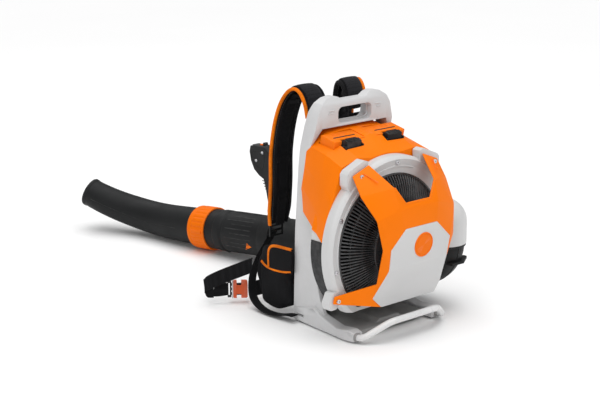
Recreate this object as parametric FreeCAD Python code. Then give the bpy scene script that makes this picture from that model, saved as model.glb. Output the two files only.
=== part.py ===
import FreeCAD, Part
import math
import os

from FreeCAD import Vector

# Battery backpack leaf blower.  Millimetres, +Z up, +Y towards the wearer's
# back, +X to the wearer's right.  The origin is on the ground in the middle
# of the base.

# ---- driving dimensions --------------------------------------------------
PLATE_HALF_W = 117.0        # back plate, half width over the side flanges
FLANGE_T = 8.0              # thickness of the side flanges
WEB_Y = 86.0                # rear face of the back plate's web
WEB_T = 5.0
HANDLE_TOP = 485.0          # height of the carrying handle
FOOT_Z = 4.0                # underside of the feet, on top of the rubber pads
FOOT_REAR_Y = -86.0
FOOT_OUT = 132.0            # outer side of the feet, half width
FOOT_IN = 103.0
BAR_R = 7.0                 # stand bar tube radius
BAR_X = 120.0
BAR_Z = 13.5

AXIS_Z = 190.0              # fan axis height; the axis runs along Y
DRUM_R = 170.0              # fan housing, under the cover
RIM_R = 181.0               # fan housing, visible rear rim
MOUTH_R = 150.0             # intake mouth, a little off the fan's axis
MOUTH = (-8.0, 186.0)       # x, z of the middle of the mouth
FRONT_Y = -2.0              # front wall of the fan housing
SPLIT_Y = -46.0             # joint between the housing halves
FACE_Y = -70.0              # rear lip of the fan housing
WALL = 3.5
DRUM_FLOOR = 62.0           # flat underside of the housing
MOUTH_FLOOR = 70.0          # the mouth is cut off flat above the underside

DUCT_X, DUCT_Y = 186.0, -38.0   # vertical outlet duct
DUCT_R = 51.0
DUCT_BOTTOM = 148.0
ELBOW_R = 47.0
SIDE_CUT = 138.6            # the housing is flat beside the elbow
ELBOW_BEND = 55.0
TUBE_R = 49.0               # blower tube
TUBE_WALL = 2.5

SLOT_X = 59.0               # battery slots, distance from the middle
PACK_W, PACK_D, PACK_L = 84.0, 44.0, 138.0
PACK_LEAN = 12.0            # the packs lean back at the top
PACK_TOP = (24.0, 401.0)    # y, z of the middle of a pack's top face

STRAP_X = 88.0              # middle of a shoulder strap in front of the chest
STRAP_W = 60.0

X, Y, Z = Vector(1, 0, 0), Vector(0, 1, 0), Vector(0, 0, 1)
AXIS = Vector(0, 0, AXIS_Z)

# Axis of the blower tube: it leaves the elbow and droops towards the ground.
ELBOW_END = Vector(DUCT_X, DUCT_Y + ELBOW_BEND, DUCT_BOTTOM - ELBOW_BEND)
TUBE_DIR = Vector(-103, 628, -37).normalize()

nodes = {}


# ---- helpers ---------------------------------------------------------------
def box(x0, x1, y0, y1, z0, z1):
    return Part.makeBox(x1 - x0, y1 - y0, z1 - z0, Vector(x0, y0, z0))


def cyl(r, start, direction, length):
    start = Vector(*start)
    if length < 0:
        start, length = start + direction * length, -length
    return Part.makeCylinder(r, length, start, direction)


def pipe(r_out, r_in, start, direction, length):
    return cyl(r_out, start, direction, length).cut(cyl(r_in, start, direction, length))


def polygon(points):
    return Part.makePolygon(points + [points[0]])


def prism_xz(points, y0, y1):
    wire = polygon([Vector(x, y0, z) for x, z in points])
    return Part.Face(wire).extrude(Vector(0, y1 - y0, 0))


def prism_yz(points, x0, x1):
    wire = polygon([Vector(x0, y, z) for y, z in points])
    return Part.Face(wire).extrude(Vector(x1 - x0, 0, 0))


def prism_xy(points, z0, z1):
    wire = polygon([Vector(x, y, z0) for x, y in points])
    return Part.Face(wire).extrude(Vector(0, 0, z1 - z0))


def mirrored(points):
    """A left-hand outline, from top middle down, closed by its mirror image."""
    return points + [(-x, v) for x, v in reversed(points) if abs(x) > 1e-6]


def flip(shape):
    return shape.mirror(Vector(0, 0, 0), X)


def both_sides(shape):
    return [shape, flip(shape)]


def revolve_y(profile, centre=AXIS):
    """Solid of revolution about Y through centre, from (radius, y) points."""
    wire = polygon([centre + Vector(r, y, 0) for r, y in profile])
    return Part.Face(wire).revolve(centre, Y, 360)


def rounded(shape, radius, keep):
    """Fillet the edges that keep(edge) picks; leave the shape if it can't be."""
    edges = [e for e in shape.Edges if keep(e)]
    try:
        out = shape.makeFillet(radius, edges)
        if out.isValid() and out.Volume > 0:
            return out
    except Exception:
        pass
    print("no fillet", radius, len(edges))
    return shape


def along(axis):
    """Picks straight edges parallel to axis."""
    def pick(edge):
        if not isinstance(edge.Curve, Part.Line):
            return False
        d = edge.Curve.Direction
        return abs(abs(d.dot(axis)) - 1) < 1e-3
    return pick


def closed_solid(faces):
    shell = Part.Shell(faces)
    shell.sewShape()
    solid = Part.Solid(shell)
    if solid.Volume < 0:
        solid.reverse()
    return solid


def strip(sections):
    """Flat-faced solid through rectangles, each given as four corner points."""
    ends = [[Vector(*p) for p in s] for s in sections]
    faces = [Part.Face(polygon(ends[0])), Part.Face(polygon(ends[-1][::-1]))]
    for a, b in zip(ends, ends[1:]):
        for i in range(4):
            k = (i + 1) % 4
            # The wide faces split along the same diagonal, so the strap keeps its thickness.
            if i < 2:
                split = [(a[i], a[k], b[k]), (a[i], b[k], b[i])]
            else:
                split = [(a[i], a[k], b[i]), (a[k], b[k], b[i])]
            faces += [Part.Face(polygon(list(t))) for t in split]
    return closed_solid(faces)


def webbing(points, across, width, thickness):
    """Flat strap along a list of points; across is the direction of its width."""
    sections = []
    count = len(points)
    w = Vector(*across).normalize() * (width / 2)
    for i, p in enumerate(points):
        a = Vector(*points[max(i - 1, 0)])
        b = Vector(*points[min(i + 1, count - 1)])
        n = (b - a).cross(w).normalize() * (thickness / 2)
        p = Vector(*p)
        sections.append([p + w + n, p - w + n, p - w - n, p + w - n])
    return strip(sections)


def sheet_solid(points, faces, depth):
    """A moulded sheet of triangles, thickened by depth along +Y."""
    shift = Vector(0, depth, 0)
    front = [Vector(*p) for p in points]
    back = [p + shift for p in front]
    edges = {}
    out = []
    for f in faces:
        out.append(Part.Face(polygon([front[i] for i in f])))
        out.append(Part.Face(polygon([back[i] for i in reversed(f)])))
        for a, b in zip(f, f[1:] + f[:1]):
            edges[(a, b)] = edges.get((b, a)) is None
            if not edges[(a, b)]:
                edges[(b, a)] = False
    for (a, b), open_edge in edges.items():
        if open_edge:
            out.append(Part.Face(polygon([front[b], front[a], back[a], back[b]])))
    return closed_solid(out)


def path_pipe(points, radius):
    """Round rod or hose along straight runs joined by tangent arcs."""
    pts = [Vector(*p) for p in points]
    edges = []
    here = pts[0]
    for i in range(1, len(pts) - 1):
        u = (pts[i - 1] - pts[i]).normalize()
        w = (pts[i + 1] - pts[i]).normalize()
        turn = math.pi - u.getAngle(w)
        reach = 0.45 * min((pts[i - 1] - pts[i]).Length, (pts[i + 1] - pts[i]).Length)
        bend = reach / math.tan(turn / 2)
        a, b = pts[i] + u * reach, pts[i] + w * reach
        centre = pts[i] + (u + w).normalize() * (bend / math.cos(turn / 2))
        mid = centre + (pts[i] - centre).normalize() * bend
        edges.append(Part.makeLine(here, a))
        edges.append(Part.Arc(a, mid, b).toShape())
        here = b
    edges.append(Part.makeLine(here, pts[-1]))
    path = Part.Wire(edges)
    start = (pts[1] - pts[0]).normalize()
    profile = Part.Wire(Part.makeCircle(radius, pts[0], start))
    return path.makePipeShell([profile], True, True)


def group(shapes):
    return Part.makeCompound(shapes)


# ---- back plate, feet, stand ----------------------------------------------
def backplate():
    outline = mirrored([(0, 474), (-34, 474), (-44, 482), (-56, HANDLE_TOP), (-76, 482), (-92, 472),
                        (-103, 454), (-110, 425), (-115, 385), (-PLATE_HALF_W, 340),
                        (-PLATE_HALF_W, FOOT_Z)])
    profile = [(108, FOOT_Z), (108, 40), (104, 200), (100, 258), (91, 375), (84, 420),
               (78, 462), (71, HANDLE_TOP), (54, HANDLE_TOP), (47, 468), (48, 420),
               (57, 391), (67, 357), (75, 258), (27, 214), (21, 196), (28, 147),
               (34, 91), (26, 65), (11, 30), (-40, 14), (-78, 18), (FOOT_REAR_Y, FOOT_Z)]
    body = prism_xz(outline, -100, 120).common(prism_yz(profile, -140, 140))
    inner = PLATE_HALF_W - FLANGE_T
    body = body.cut(box(-inner, inner, -120, WEB_Y, -1, 392))
    body = body.cut(prism_xz([(-inner, 390), (inner, 390), (92, 421), (-92, 421)], -120, WEB_Y))
    body = body.cut(box(-inner, inner, WEB_Y + WEB_T, 130, 26, 404))
    grip = box(-48, 48, 0, 130, 427, 461)
    body = body.cut(rounded(grip, 12, along(Y)))
    # The feet flare outwards and run back under the fan housing.
    plan = [(FOOT_IN, 100), (118, 104), (FOOT_OUT, -60), (128, FOOT_REAR_Y), (FOOT_IN, FOOT_REAR_Y)]
    side = [(100, FOOT_Z), (100, 34), (40, 46), (14, 34), (-36, 22), (-72, 26),
            (FOOT_REAR_Y, 22), (FOOT_REAR_Y, FOOT_Z)]
    foot = prism_xy(plan, FOOT_Z, 60).common(prism_yz(side, 90, 140))
    foot = rounded(foot, 3, lambda e: e.BoundBox.ZMin > FOOT_Z + 1)
    body = body.fuse(both_sides(foot))
    for x in (-BAR_X, BAR_X):
        body = body.cut(cyl(BAR_R, (x, -40, BAR_Z), Y, -80))
    for x in (-1, 1):
        # Slot for the lower strap's tab.
        body = body.cut(box(x * 125 - 20, x * 125 + 20, 74, 98, 14, 20))
    body = body.cut(cyl(5, (0, WEB_Y - 1, 404), Y, 20))
    for x in (-95, 95):
        for z in (80, 214):
            body = body.cut(cyl(4.2, (x, WEB_Y - 1, z), Y, WEB_T + 2))
    return body.removeSplitter()


def stand_bar():
    route = [(-BAR_X, -52, BAR_Z), (-BAR_X, -102, BAR_Z), (-69, -134, 47),
             (69, -134, 47), (BAR_X, -102, BAR_Z), (BAR_X, -52, BAR_Z)]
    # The runs into the feet are straight; each bend has a wrench-bend radius.
    pts = [Vector(*p) for p in route]
    edges = []
    here = pts[0]
    reach = 13.0
    for i in range(1, len(pts) - 1):
        u = (pts[i - 1] - pts[i]).normalize()
        w = (pts[i + 1] - pts[i]).normalize()
        turn = math.pi - u.getAngle(w)
        bend = reach / math.tan(turn / 2)
        centre = pts[i] + (u + w).normalize() * (bend / math.cos(turn / 2))
        mid = centre + (pts[i] - centre).normalize() * bend
        a, b = pts[i] + u * reach, pts[i] + w * reach
        edges += [Part.makeLine(here, a), Part.Arc(a, mid, b).toShape()]
        here = b
    edges.append(Part.makeLine(here, pts[-1]))
    path = Part.Wire(edges)
    rings = [Part.Wire(Part.makeCircle(r, pts[0], Y)) for r in (BAR_R, BAR_R - 1.5)]
    outer, bore = [path.makePipeShell([r], True, True) for r in rings]
    return outer.cut(bore)


def base_deck():
    plan = mirrored([(0, 84), (-FOOT_IN, 84), (-FOOT_IN, -58), (-88, -72), (0, -72)])
    deck = prism_xy(plan, 14, 18)
    rib = prism_xy(plan, 9, 14).cut(box(-88, 88, -58, 72, 8, 15))
    rise = prism_xz([(-40, 18), (40, 18), (28, 26), (-28, 26)], -60, 84)
    return deck.fuse([rib, rise]).removeSplitter()


def rubber_feet():
    pads = []
    for y0, y1 in ((-80, -50), (62, 94)):
        pad = rounded(box(107, 116, y0, y1, 0, FOOT_Z), 1.2, lambda e: e.BoundBox.ZMax < 0.1)
        pads += both_sides(pad)
    return group(pads)


# ---- fan housing -----------------------------------------------------------
def duct(radius, top):
    tower = cyl(radius, (DUCT_X, DUCT_Y, DUCT_BOTTOM), Z, top - DUCT_BOTTOM)
    return tower.fuse(Part.makeSphere(radius, Vector(DUCT_X, DUCT_Y, top)))


def duct_outer():
    return duct(DUCT_R, 194).cut(box(90, 240, -110, 40, 90, DUCT_BOTTOM))


def housing():
    arc = [(RIM_R - 1.5 * i * i / 3.2, SPLIT_Y - 14 - i * 3.1) for i in range(5)]
    outer = [(0, FRONT_Y), (DRUM_R, FRONT_Y), (DRUM_R, SPLIT_Y), (RIM_R, SPLIT_Y)] + arc
    outer += [(160, FACE_Y), (0, FACE_Y)]
    inner = [(0, FRONT_Y - WALL), (DRUM_R - WALL, FRONT_Y - WALL), (DRUM_R - WALL, SPLIT_Y - 10),
             (160, FACE_Y + WALL), (0, FACE_Y + WALL)]
    shell = revolve_y(outer).common(box(-300, 300, -120, 60, DRUM_FLOOR, 400))
    shell = shell.cut(box(SIDE_CUT, 300, -120, 60, 0, DUCT_BOTTOM))
    room = revolve_y(inner).common(box(-300, 300, -120, 60, DRUM_FLOOR + WALL, 400))
    room = room.cut(box(SIDE_CUT - WALL, 300, -120, 60, 0, DUCT_BOTTOM + WALL))
    bosses = []
    upper = prism_xz([(-133, 328), (-133, 351), (-127, 358), (-86, 375), (-75, 371),
                      (-76, 350), (-112, 318), (-124, 312)], SPLIT_Y - 2, FACE_Y)
    lower = prism_xz([(-182, 90), (-178, 78), (-162, 78), (-140, 96), (-150, 118),
                      (-172, 112)], SPLIT_Y - 2, FACE_Y)
    lower_right = prism_xz([(112, 90), (118, 84), (132, 84), (135, 92), (133, 108), (120, 110)],
                           SPLIT_Y - 2, FACE_Y)
    bosses += both_sides(rounded(upper, 4, along(Y)))
    bosses += [rounded(b, 3, along(Y)) for b in (lower, lower_right)]
    shell = shell.fuse([duct_outer()] + bosses)
    shell = shell.cut(room.fuse(duct(DUCT_R - WALL, 194)))
    mouth = cyl(MOUTH_R, (MOUTH[0], FACE_Y - 20, MOUTH[1]), Y, 30)
    shell = shell.cut(mouth.common(box(-200, 200, -120, 0, MOUTH_FLOOR, 400)))
    shell = shell.cut(cyl(22, (0, -20, AXIS_Z), Y, 40))
    for angle in (45, 135, 225, 315):
        a = math.radians(angle)
        shell = shell.cut(cyl(2.6, (34 * math.cos(a), -20, AXIS_Z + 34 * math.sin(a)), Y, 40))
    return shell


def split_housing(shell):
    rear = shell.common(box(-300, 300, -130, SPLIT_Y, 0, 420))
    front = shell.common(box(-300, 300, SPLIT_Y, 80, 0, 420))
    rear = max(rear.Solids, key=lambda s: s.Volume)
    front = max(front.Solids, key=lambda s: s.Volume)
    for x, z in ring_screw_places():
        rear = rear.cut(cyl(2.0, (x, SPLIT_Y - 30, z), Y, 31))
    for x, z in shield_screw_places():
        rear = rear.cut(cyl(2.4, (x, SPLIT_Y - 50, z), Y, 51))
    return rear, front


def ring_screw_places():
    places = []
    for angle in (88, 155, 192, 25):
        a = math.radians(angle)
        places.append((167 * math.cos(a), AXIS_Z + 167 * math.sin(a)))
    return places


def screw(x, y, z, head_r, head_h, shank_r, length):
    """Cap screw driven towards +Y, its head's underside at y."""
    head = cyl(head_r, (x, y, z), Y, -head_h)
    head = rounded(head, head_h * 0.3, lambda e: e.BoundBox.YMax < y - head_h + 0.01)
    socket = cyl(head_r * 0.45, (x, y - head_h - 1, z), Y, head_h * 0.6 + 1)
    return head.cut(socket).fuse(cyl(shank_r, (x, y, z), Y, length))


RING_SEAT_Y = FACE_Y - 1.0  # the ring's screws sit in shallow counterbores
HEAD_R = 4.6


def ring_screws():
    return [screw(x, RING_SEAT_Y, z, HEAD_R, 3.0, 2.0, 14) for x, z in ring_screw_places()]


def screw_seats(places, seat_y):
    return group([cyl(HEAD_R + 0.3, (x, seat_y, z), Y, -40) for x, z in places])


def intake_grille():
    """Domed guard of radial ribs, one hoop, a wide closed hub and a rim."""
    centre = Vector(MOUTH[0], 0, MOUTH[1])

    def dome(r):
        return FACE_Y + 3 - 42 * math.cos(math.radians(90) * r / (MOUTH_R - 1))

    rim = revolve_y([(MOUTH_R - 0.6, FACE_Y - 2), (MOUTH_R - 0.6, FACE_Y + 6),
                     (MOUTH_R - 7, FACE_Y + 6), (MOUTH_R - 7, FACE_Y - 2)], centre)
    hub_r, hoop_r = 74, 112
    face = [(r, dome(r) - 2) for r in (0, 24, 48, hub_r - 2)] + [(hub_r, dome(hub_r))]
    back = [(r, dome(r) + 5) for r in (hub_r, 48, 24, 0)]
    hub = revolve_y(face + back, centre)
    hoop = revolve_y([(hoop_r - 1.2, dome(hoop_r)), (hoop_r + 1.2, dome(hoop_r)),
                      (hoop_r + 1.2, dome(hoop_r) + 6), (hoop_r - 1.2, dome(hoop_r) + 6)], centre)
    top = [(r, dome(r)) for r in (hub_r - 2, 92, 112, 126, 135, MOUTH_R - 4)]
    bottom = [(r, y + 5) for r, y in reversed(top)]
    outline = polygon([centre + Vector(r, y, -0.9) for r, y in top + bottom])
    blade = Part.Face(outline).extrude(Vector(0, 0, 1.8))
    ribs = []
    count = 60
    for i in range(count):
        rib = blade.copy()
        rib.rotate(centre, Y, 360 * i / count)
        ribs.append(rib)
    half = math.sqrt((MOUTH_R - 7) ** 2 - (MOUTH[1] - MOUTH_FLOOR) ** 2)
    sill = box(MOUTH[0] - half, MOUTH[0] + half, FACE_Y - 2, FACE_Y + 6, MOUTH_FLOOR, MOUTH_FLOOR + 6)
    guard = rim.fuse([hub, sill, hoop] + ribs)
    return guard.common(box(-200, 200, -160, 0, MOUTH_FLOOR + 0.2, 400))


# ---- shield ----------------------------------------------------------------
SHIELD_LEFT = {
    "arm_out": (-123, -74, 349), "arm_in": (-79, -75, 366),
    "edge_1": (-124, -100, 311), "mouth_1": (-58, -129, 324),
    "edge_2": (-112, -135, 265), "brow": (-54, -143, 281), "mouth_2": (-36, -139, 290),
    "edge_3": (-103, -143, 205), "panel_1": (-45, -150, 241), "panel_2": (-86, -149, 203),
    "edge_4": (-97, -119, 128), "panel_3": (-84, -142, 158),
    "panel_4": (-99, -111, 96), "panel_5": (-78, -115, 75),
    "low_top": (-170, -74, 106), "low_out": (-174, -74, 92),
}
SHIELD_FACES = [
    ("arm_out", "arm_in", "mouth_1"), ("arm_out", "mouth_1", "edge_1"),
    ("edge_1", "mouth_1", "brow"), ("edge_1", "brow", "edge_2"),
    ("mouth_1", "mouth_2", "brow"), ("edge_2", "brow", "panel_1"),
    ("edge_2", "panel_1", "panel_2"), ("edge_2", "panel_2", "edge_3"),
    ("edge_3", "panel_2", "panel_3"), ("edge_3", "panel_3", "edge_4"),
    ("edge_4", "panel_3", "panel_4"), ("edge_4", "panel_4", "low_top"),
    ("low_top", "panel_4", "low_out"), ("low_out", "panel_4", "panel_5"),
]


SHORT_ARM = {"low_top": (130, -74, 106), "low_out": (132, -74, 91)}


def mirrored_sheet(left, faces, middle, depth):
    """Sheet from a left-hand half and the faces that cross the middle."""
    names = list(left)
    points = [left[n] for n in names]
    # The lower right arm is shorter, because the outlet elbow is beside it.
    points += [SHORT_ARM.get(n, (-left[n][0], left[n][1], left[n][2])) for n in names]
    number = {n: i for i, n in enumerate(names)}
    number.update({n + "_r": i + len(names) for i, n in enumerate(names)})
    tris = [[number[n] for n in f] for f in faces]
    tris += [[number[n + "_r"] for n in reversed(f)] for f in faces]
    tris += [[number[n] for n in f] for f in middle]
    return sheet_solid(points, tris, depth)


def shield():
    middle = [("mouth_2", "mouth_2_r", "brow_r"), ("mouth_2", "brow_r", "brow"),
              ("brow", "brow_r", "panel_1_r"), ("brow", "panel_1_r", "panel_1")]
    body = mirrored_sheet(SHIELD_LEFT, SHIELD_FACES, middle, 4.0)
    for x, z in shield_screw_places():
        body = body.cut(cyl(2.6, (x, -140, z), Y, 100))
        body = body.cut(screw_seats([(x, z)], shield_seat(z)))
    return body


def shield_seat(z):
    """Y of the underside of the screw heads; the arms are thicker at the top."""
    return -82.5 if z > AXIS_Z else -77.5


def shield_screw_places():
    return [(-106, 346), (106, 346), (-163, 97), (123, 97)]


def shield_screws():
    out = []
    for x, z in shield_screw_places():
        out.append(screw(x, shield_seat(z), z, HEAD_R, 3.0, 2.4, 20))
    return out


def shield_panel():
    """White octagonal panel that closes the front of the shield."""
    names = ["panel_1", "panel_2", "panel_3", "panel_4", "panel_5"]
    left = {n: SHIELD_LEFT[n] for n in names}
    faces = [("panel_1", "panel_3", "panel_2"), ("panel_3", "panel_5", "panel_4")]
    middle = [("panel_1", "panel_1_r", "panel_3_r"), ("panel_1", "panel_3_r", "panel_3"),
              ("panel_3", "panel_3_r", "panel_5_r"), ("panel_3", "panel_5_r", "panel_5")]
    return mirrored_sheet(left, faces, middle, 4.0)


BADGE_X, BADGE_Z, BADGE_R = 8.0, 199.0, 26.0


def badge():
    """Plain disc on the sloping face of the panel."""
    top, low = SHIELD_LEFT["panel_1"], SHIELD_LEFT["panel_3"]
    out = Vector(0, low[2] - top[2], top[1] - low[1]).normalize()
    middle = (top[2] - BADGE_Z) / (top[2] - low[2])
    y = top[1] + (low[1] - top[1]) * middle
    return cyl(BADGE_R, tuple(Vector(BADGE_X, y, BADGE_Z) + out * 0.1), out, 3.0)


# ---- top cover and battery bay ------------------------------------------------
COVER_SECTIONS = {
    72: [(0, 419), (-38, 418), (-74, 415), (-113, 389), (-120, 345), (-129, 300), (-131, 258)],
    6: [(0, 405), (-42, 403), (-82, 398), (-121, 378), (-138, 320), (-151, 273), (-159, 235)],
    -46: [(0, 374), (-45, 370), (-80, 374), (-126, 362), (-151, 300), (-168, 252), (-180, 216)],
}


COVER_T = 3.0


def top_cover():
    def skin(t, ends):
        wires = []
        for (y, half), at in zip(COVER_SECTIONS.items(), ends):
            inset = [(x + (t if x else 0), z - t * (1.0 if z > 355 else 0.25)) for x, z in half]
            pts = inset + [(-x, z) for x, z in reversed(inset[1:])]
            wires.append(polygon([Vector(x, y if at is None else at, z) for x, z in pts]))
        return Part.makeLoft(wires, True, True)

    # The rear end is a wall, cut round where it meets the fan housing.
    shell = skin(0, (None, None, None)).cut(skin(COVER_T, (84, None, SPLIT_Y + COVER_T)))
    shell = shell.cut(cyl(DRUM_R + 0.5, (0, -80, AXIS_Z), Y, 80 + FRONT_Y + 0.5))
    shell = shell.cut(box(-300, 300, 71, 90, 0, 500))
    shell = shell.cut(duct(DUCT_R + 1.5, 194))
    shell = max(shell.Solids, key=lambda s: s.Volume)
    for side in (-1, 1):
        shell = shell.cut(pack_block(side, 1.2, 30, 70))
        shell = shell.cut(box(side * SLOT_X - 26.5, side * SLOT_X + 26.5, -16, 6, 370, 430))
    return max(shell.Solids, key=lambda s: s.Volume)


def lean(shape, side):
    """Move a shape from its upright place at the origin into a battery slot."""
    shape = shape.copy()
    shape.rotate(Vector(0, 0, 0), X, PACK_LEAN)
    shape.translate(Vector(side * SLOT_X, PACK_TOP[0], PACK_TOP[1]))
    return shape


def pack_block(side, grow, below, above):
    half_w, half_d = PACK_W / 2 + grow, PACK_D / 2 + grow
    return lean(box(-half_w, half_w, -half_d, half_d, -below, above), side)


def battery(side):
    block = box(-PACK_W / 2, PACK_W / 2, -PACK_D / 2, PACK_D / 2, -PACK_L, 0)
    block = rounded(block, 6, along(Z))
    # The latch's nose runs in a groove down the rear face.
    block = block.cut(box(-22, 22, -PACK_D / 2 - 1, -PACK_D / 2 + 5, -PACK_L - 1, 1))
    for x in (-14, 0, 14):
        block = block.cut(box(x - 2, x + 2, -12, 12, -PACK_L - 1, -PACK_L + 9))
    grip = rounded(box(-30, 30, -8, 16, 0, 5), 2, along(Z))
    return lean(block.fuse(grip), side)


def battery_bay():
    """Black tray with two leaning wells, open at the top."""
    wall = 2.6
    wells = []
    rooms = []
    for side in (-1, 1):
        wells.append(pack_block(side, 0.8 + wall, PACK_L + 14, -22))
        rooms.append(pack_block(side, 0.8, PACK_L + 9, 10))
    bay = wells[0].fuse([wells[1], box(-20, 20, 38, 46, 262, 370)] + latch_brackets())
    for room in rooms:
        bay = bay.cut(room)
    return bay


def contact_blocks():
    blocks = []
    for side in (-1, 1):
        base = box(-24, 24, -10, 10, -PACK_L - 9, -PACK_L - 4)
        pins = [box(x - 1, x + 1, -9, 9, -PACK_L - 4, -PACK_L + 6) for x in (-14, 0, 14)]
        blocks.append(lean(base.fuse(pins), side))
    return group(blocks)


def battery_latch(side):
    """Catch at the rear of a slot, hinged along its rear lower edge."""
    cx = side * SLOT_X
    body = prism_yz([(-12, 385), (2, 385), (3.5, 392), (4.5, 403), (-3, 405), (-13, 401)], cx - 20, cx + 20)
    body = rounded(body, 1.5, along(X))
    pin = cyl(2.2, (cx - 23, -8, 389), X, 46)
    return body.fuse(pin)


def latch_brackets():
    """Two pairs of eyes on the tray that hold the latch pins."""
    eyes = []
    for side in (-1, 1):
        for s in (-1, 1):
            x = side * SLOT_X + s * 22.4
            x0, x1 = min(x, x + s * 3), max(x, x + s * 3)
            eye = box(x0, x1, -14, -2, 376, 393).fuse(box(x0, x1, -14, -2, 370, 378))
            eyes.append(eye.cut(cyl(2.26, (x0 - 1, -8, 389), X, 6)))
        eyes.append(box(side * SLOT_X - 25.4, side * SLOT_X + 25.4, -14, 7, 366, 373))
    return eyes


# ---- fan, motor and electronics -----------------------------------------------
FAN_R = 112.0


def fan_wheel():
    back = revolve_y([(0, -12), (FAN_R, -12), (FAN_R, -15), (34, -18), (20, -44), (0, -44)])
    shroud = revolve_y([(FAN_R, -52), (FAN_R, -54), (78, -62), (76, -60)])
    blades = []
    count = 14
    for i in range(count):
        pts = []
        for k in range(6):
            r = 40 + (FAN_R - 1 - 40) * k / 5
            a = math.radians(-46 * k / 5)
            pts.append((r * math.cos(a), r * math.sin(a)))
        inner = [(x * 0.985 + 1.6, z * 0.985 + 1.6) for x, z in reversed(pts)]
        wire = polygon([AXIS + Vector(x, -53, z) for x, z in pts + inner])
        blade = Part.Face(wire).extrude(Vector(0, 39, 0))
        blade.rotate(AXIS, Y, 360 * i / count)
        blades.append(blade)
    wheel = back.fuse([shroud] + blades)
    return wheel.cut(cyl(6.0, (0, -70, AXIS_Z), Y, 80))


def motor_shaft():
    return cyl(6.0, (0, -50, AXIS_Z), Y, 98).cut(cyl(2.2, (0, -51, AXIS_Z), Y, 12))


def motor_rotor():
    bell = revolve_y([(44, 8), (47, 8), (47, 42), (6, 42), (6, 39), (44, 39)])
    magnets = []
    for i in range(14):
        m = box(41.6, 44, 10, 36, AXIS_Z - 7, AXIS_Z + 7)
        m.rotate(AXIS, Y, 360 * i / 14)
        magnets.append(m)
    return bell.fuse(magnets)


def motor_stator():
    core = pipe(24, 13.5, (0, 10, AXIS_Z), Y, 24)
    teeth = []
    for i in range(12):
        stem = box(22, 36, 11, 33, AXIS_Z - 3, AXIS_Z + 3)
        shoe = box(35, 40.5, 10, 34, AXIS_Z - 7, AXIS_Z + 7)
        tooth = stem.fuse(shoe)
        tooth.rotate(AXIS, Y, 30 * i)
        teeth.append(tooth)
    return core.fuse(teeth)


def motor_windings():
    coils = []
    for i in range(12):
        coil = box(25.2, 33.8, 8.6, 35.4, AXIS_Z - 6.2, AXIS_Z + 6.2)
        coil = coil.cut(box(24, 35, 11, 33, AXIS_Z - 3, AXIS_Z + 3))
        coil.rotate(AXIS, Y, 30 * i)
        coils.append(coil)
    return group(coils)


def motor_mount():
    plate = pipe(42, 13, (0, FRONT_Y, AXIS_Z), Y, 5)
    sleeve = pipe(13.5, 11.0, (0, -9, AXIS_Z), Y, 43)
    mount = plate.fuse(sleeve)
    for angle in (45, 135, 225, 315):
        a = math.radians(angle)
        mount = mount.cut(cyl(2.6, (34 * math.cos(a), -20, AXIS_Z + 34 * math.sin(a)), Y, 40))
    return mount


def motor_bolts():
    out = []
    for angle in (45, 135, 225, 315):
        a = math.radians(angle)
        x, z = 34 * math.cos(a), AXIS_Z + 34 * math.sin(a)
        out.append(cyl(4.2, (x, 3, z), Y, 3.4).fuse(cyl(2.5, (x, 3, z), Y, -8.5)))
    return group(out)


def bearings():
    return group([pipe(11.0, 6.0, (0, y, AXIS_Z), Y, 7) for y in (-8, 26)])


def fan_nut():
    nut = Part.Face(polygon([AXIS + Vector(9 * math.cos(math.radians(60 * i)), -50,
                                           9 * math.sin(math.radians(60 * i))) for i in range(6)]))
    return nut.extrude(Vector(0, -6, 0))


def controller():
    body = rounded(box(-58, 58, 52, 64, 92, 146), 3, along(Y))
    fins = [box(x - 1, x + 1, 46, 52.5, 96, 142) for x in range(-48, 49, 12)]
    return body.fuse(fins)


def unit_bracket():
    """Plate that carries the fan unit on the four rubber mounts."""
    plate = prism_xz(mirrored([(0, 234), (-106, 234), (-106, 66), (0, 66)]), 66, 70)
    plate = plate.cut(box(-78, 78, 60, 75, 150, 222))
    posts = []
    for x in (-88, 88):
        for z in (84, 226):
            posts.append(cyl(7, (x, FRONT_Y, z), Y, 68.5))
    plate = plate.fuse(posts)
    return plate


def rubber_mounts():
    out = []
    for x in (-95, 95):
        for z in (80, 214):
            body = cyl(12, (x, 70, z), Y, 16)
            waist = Part.makeTorus(15.5, 5.0, Vector(x, 78, z), Y)
            stud = cyl(4.2, (x, 70, z), Y, 21)
            out.append(body.cut(waist).fuse(stud))
    return group(out)


def power_leads():
    leads = []
    for side in (-1, 1):
        top = (side * 40, 56, 244)
        route = [top, (side * 40, 57, 200), (side * 44, 59, 160), (side * 44, 58, 146.5)]
        leads.append(path_pipe(route, 2.6))
    # The motor's lead passes under the controller and rises behind the bell.
    leads.append(path_pipe([(0, 58, 91.5), (0, 58, 76), (0, 5.4, 76), (0, 5.4, 158)], 2.0))
    return group(leads)


# ---- outlet, hose and tube ------------------------------------------------------
def on_tube(distance, radial=0.0):
    """Point on the tube's axis, measured from the end of the elbow."""
    return ELBOW_END + TUBE_DIR * distance + Vector(0, 0, radial)


def tube_ring(r_out, r_in, start, length):
    return pipe(r_out, r_in, tuple(on_tube(start)), TUBE_DIR, length)


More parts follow.
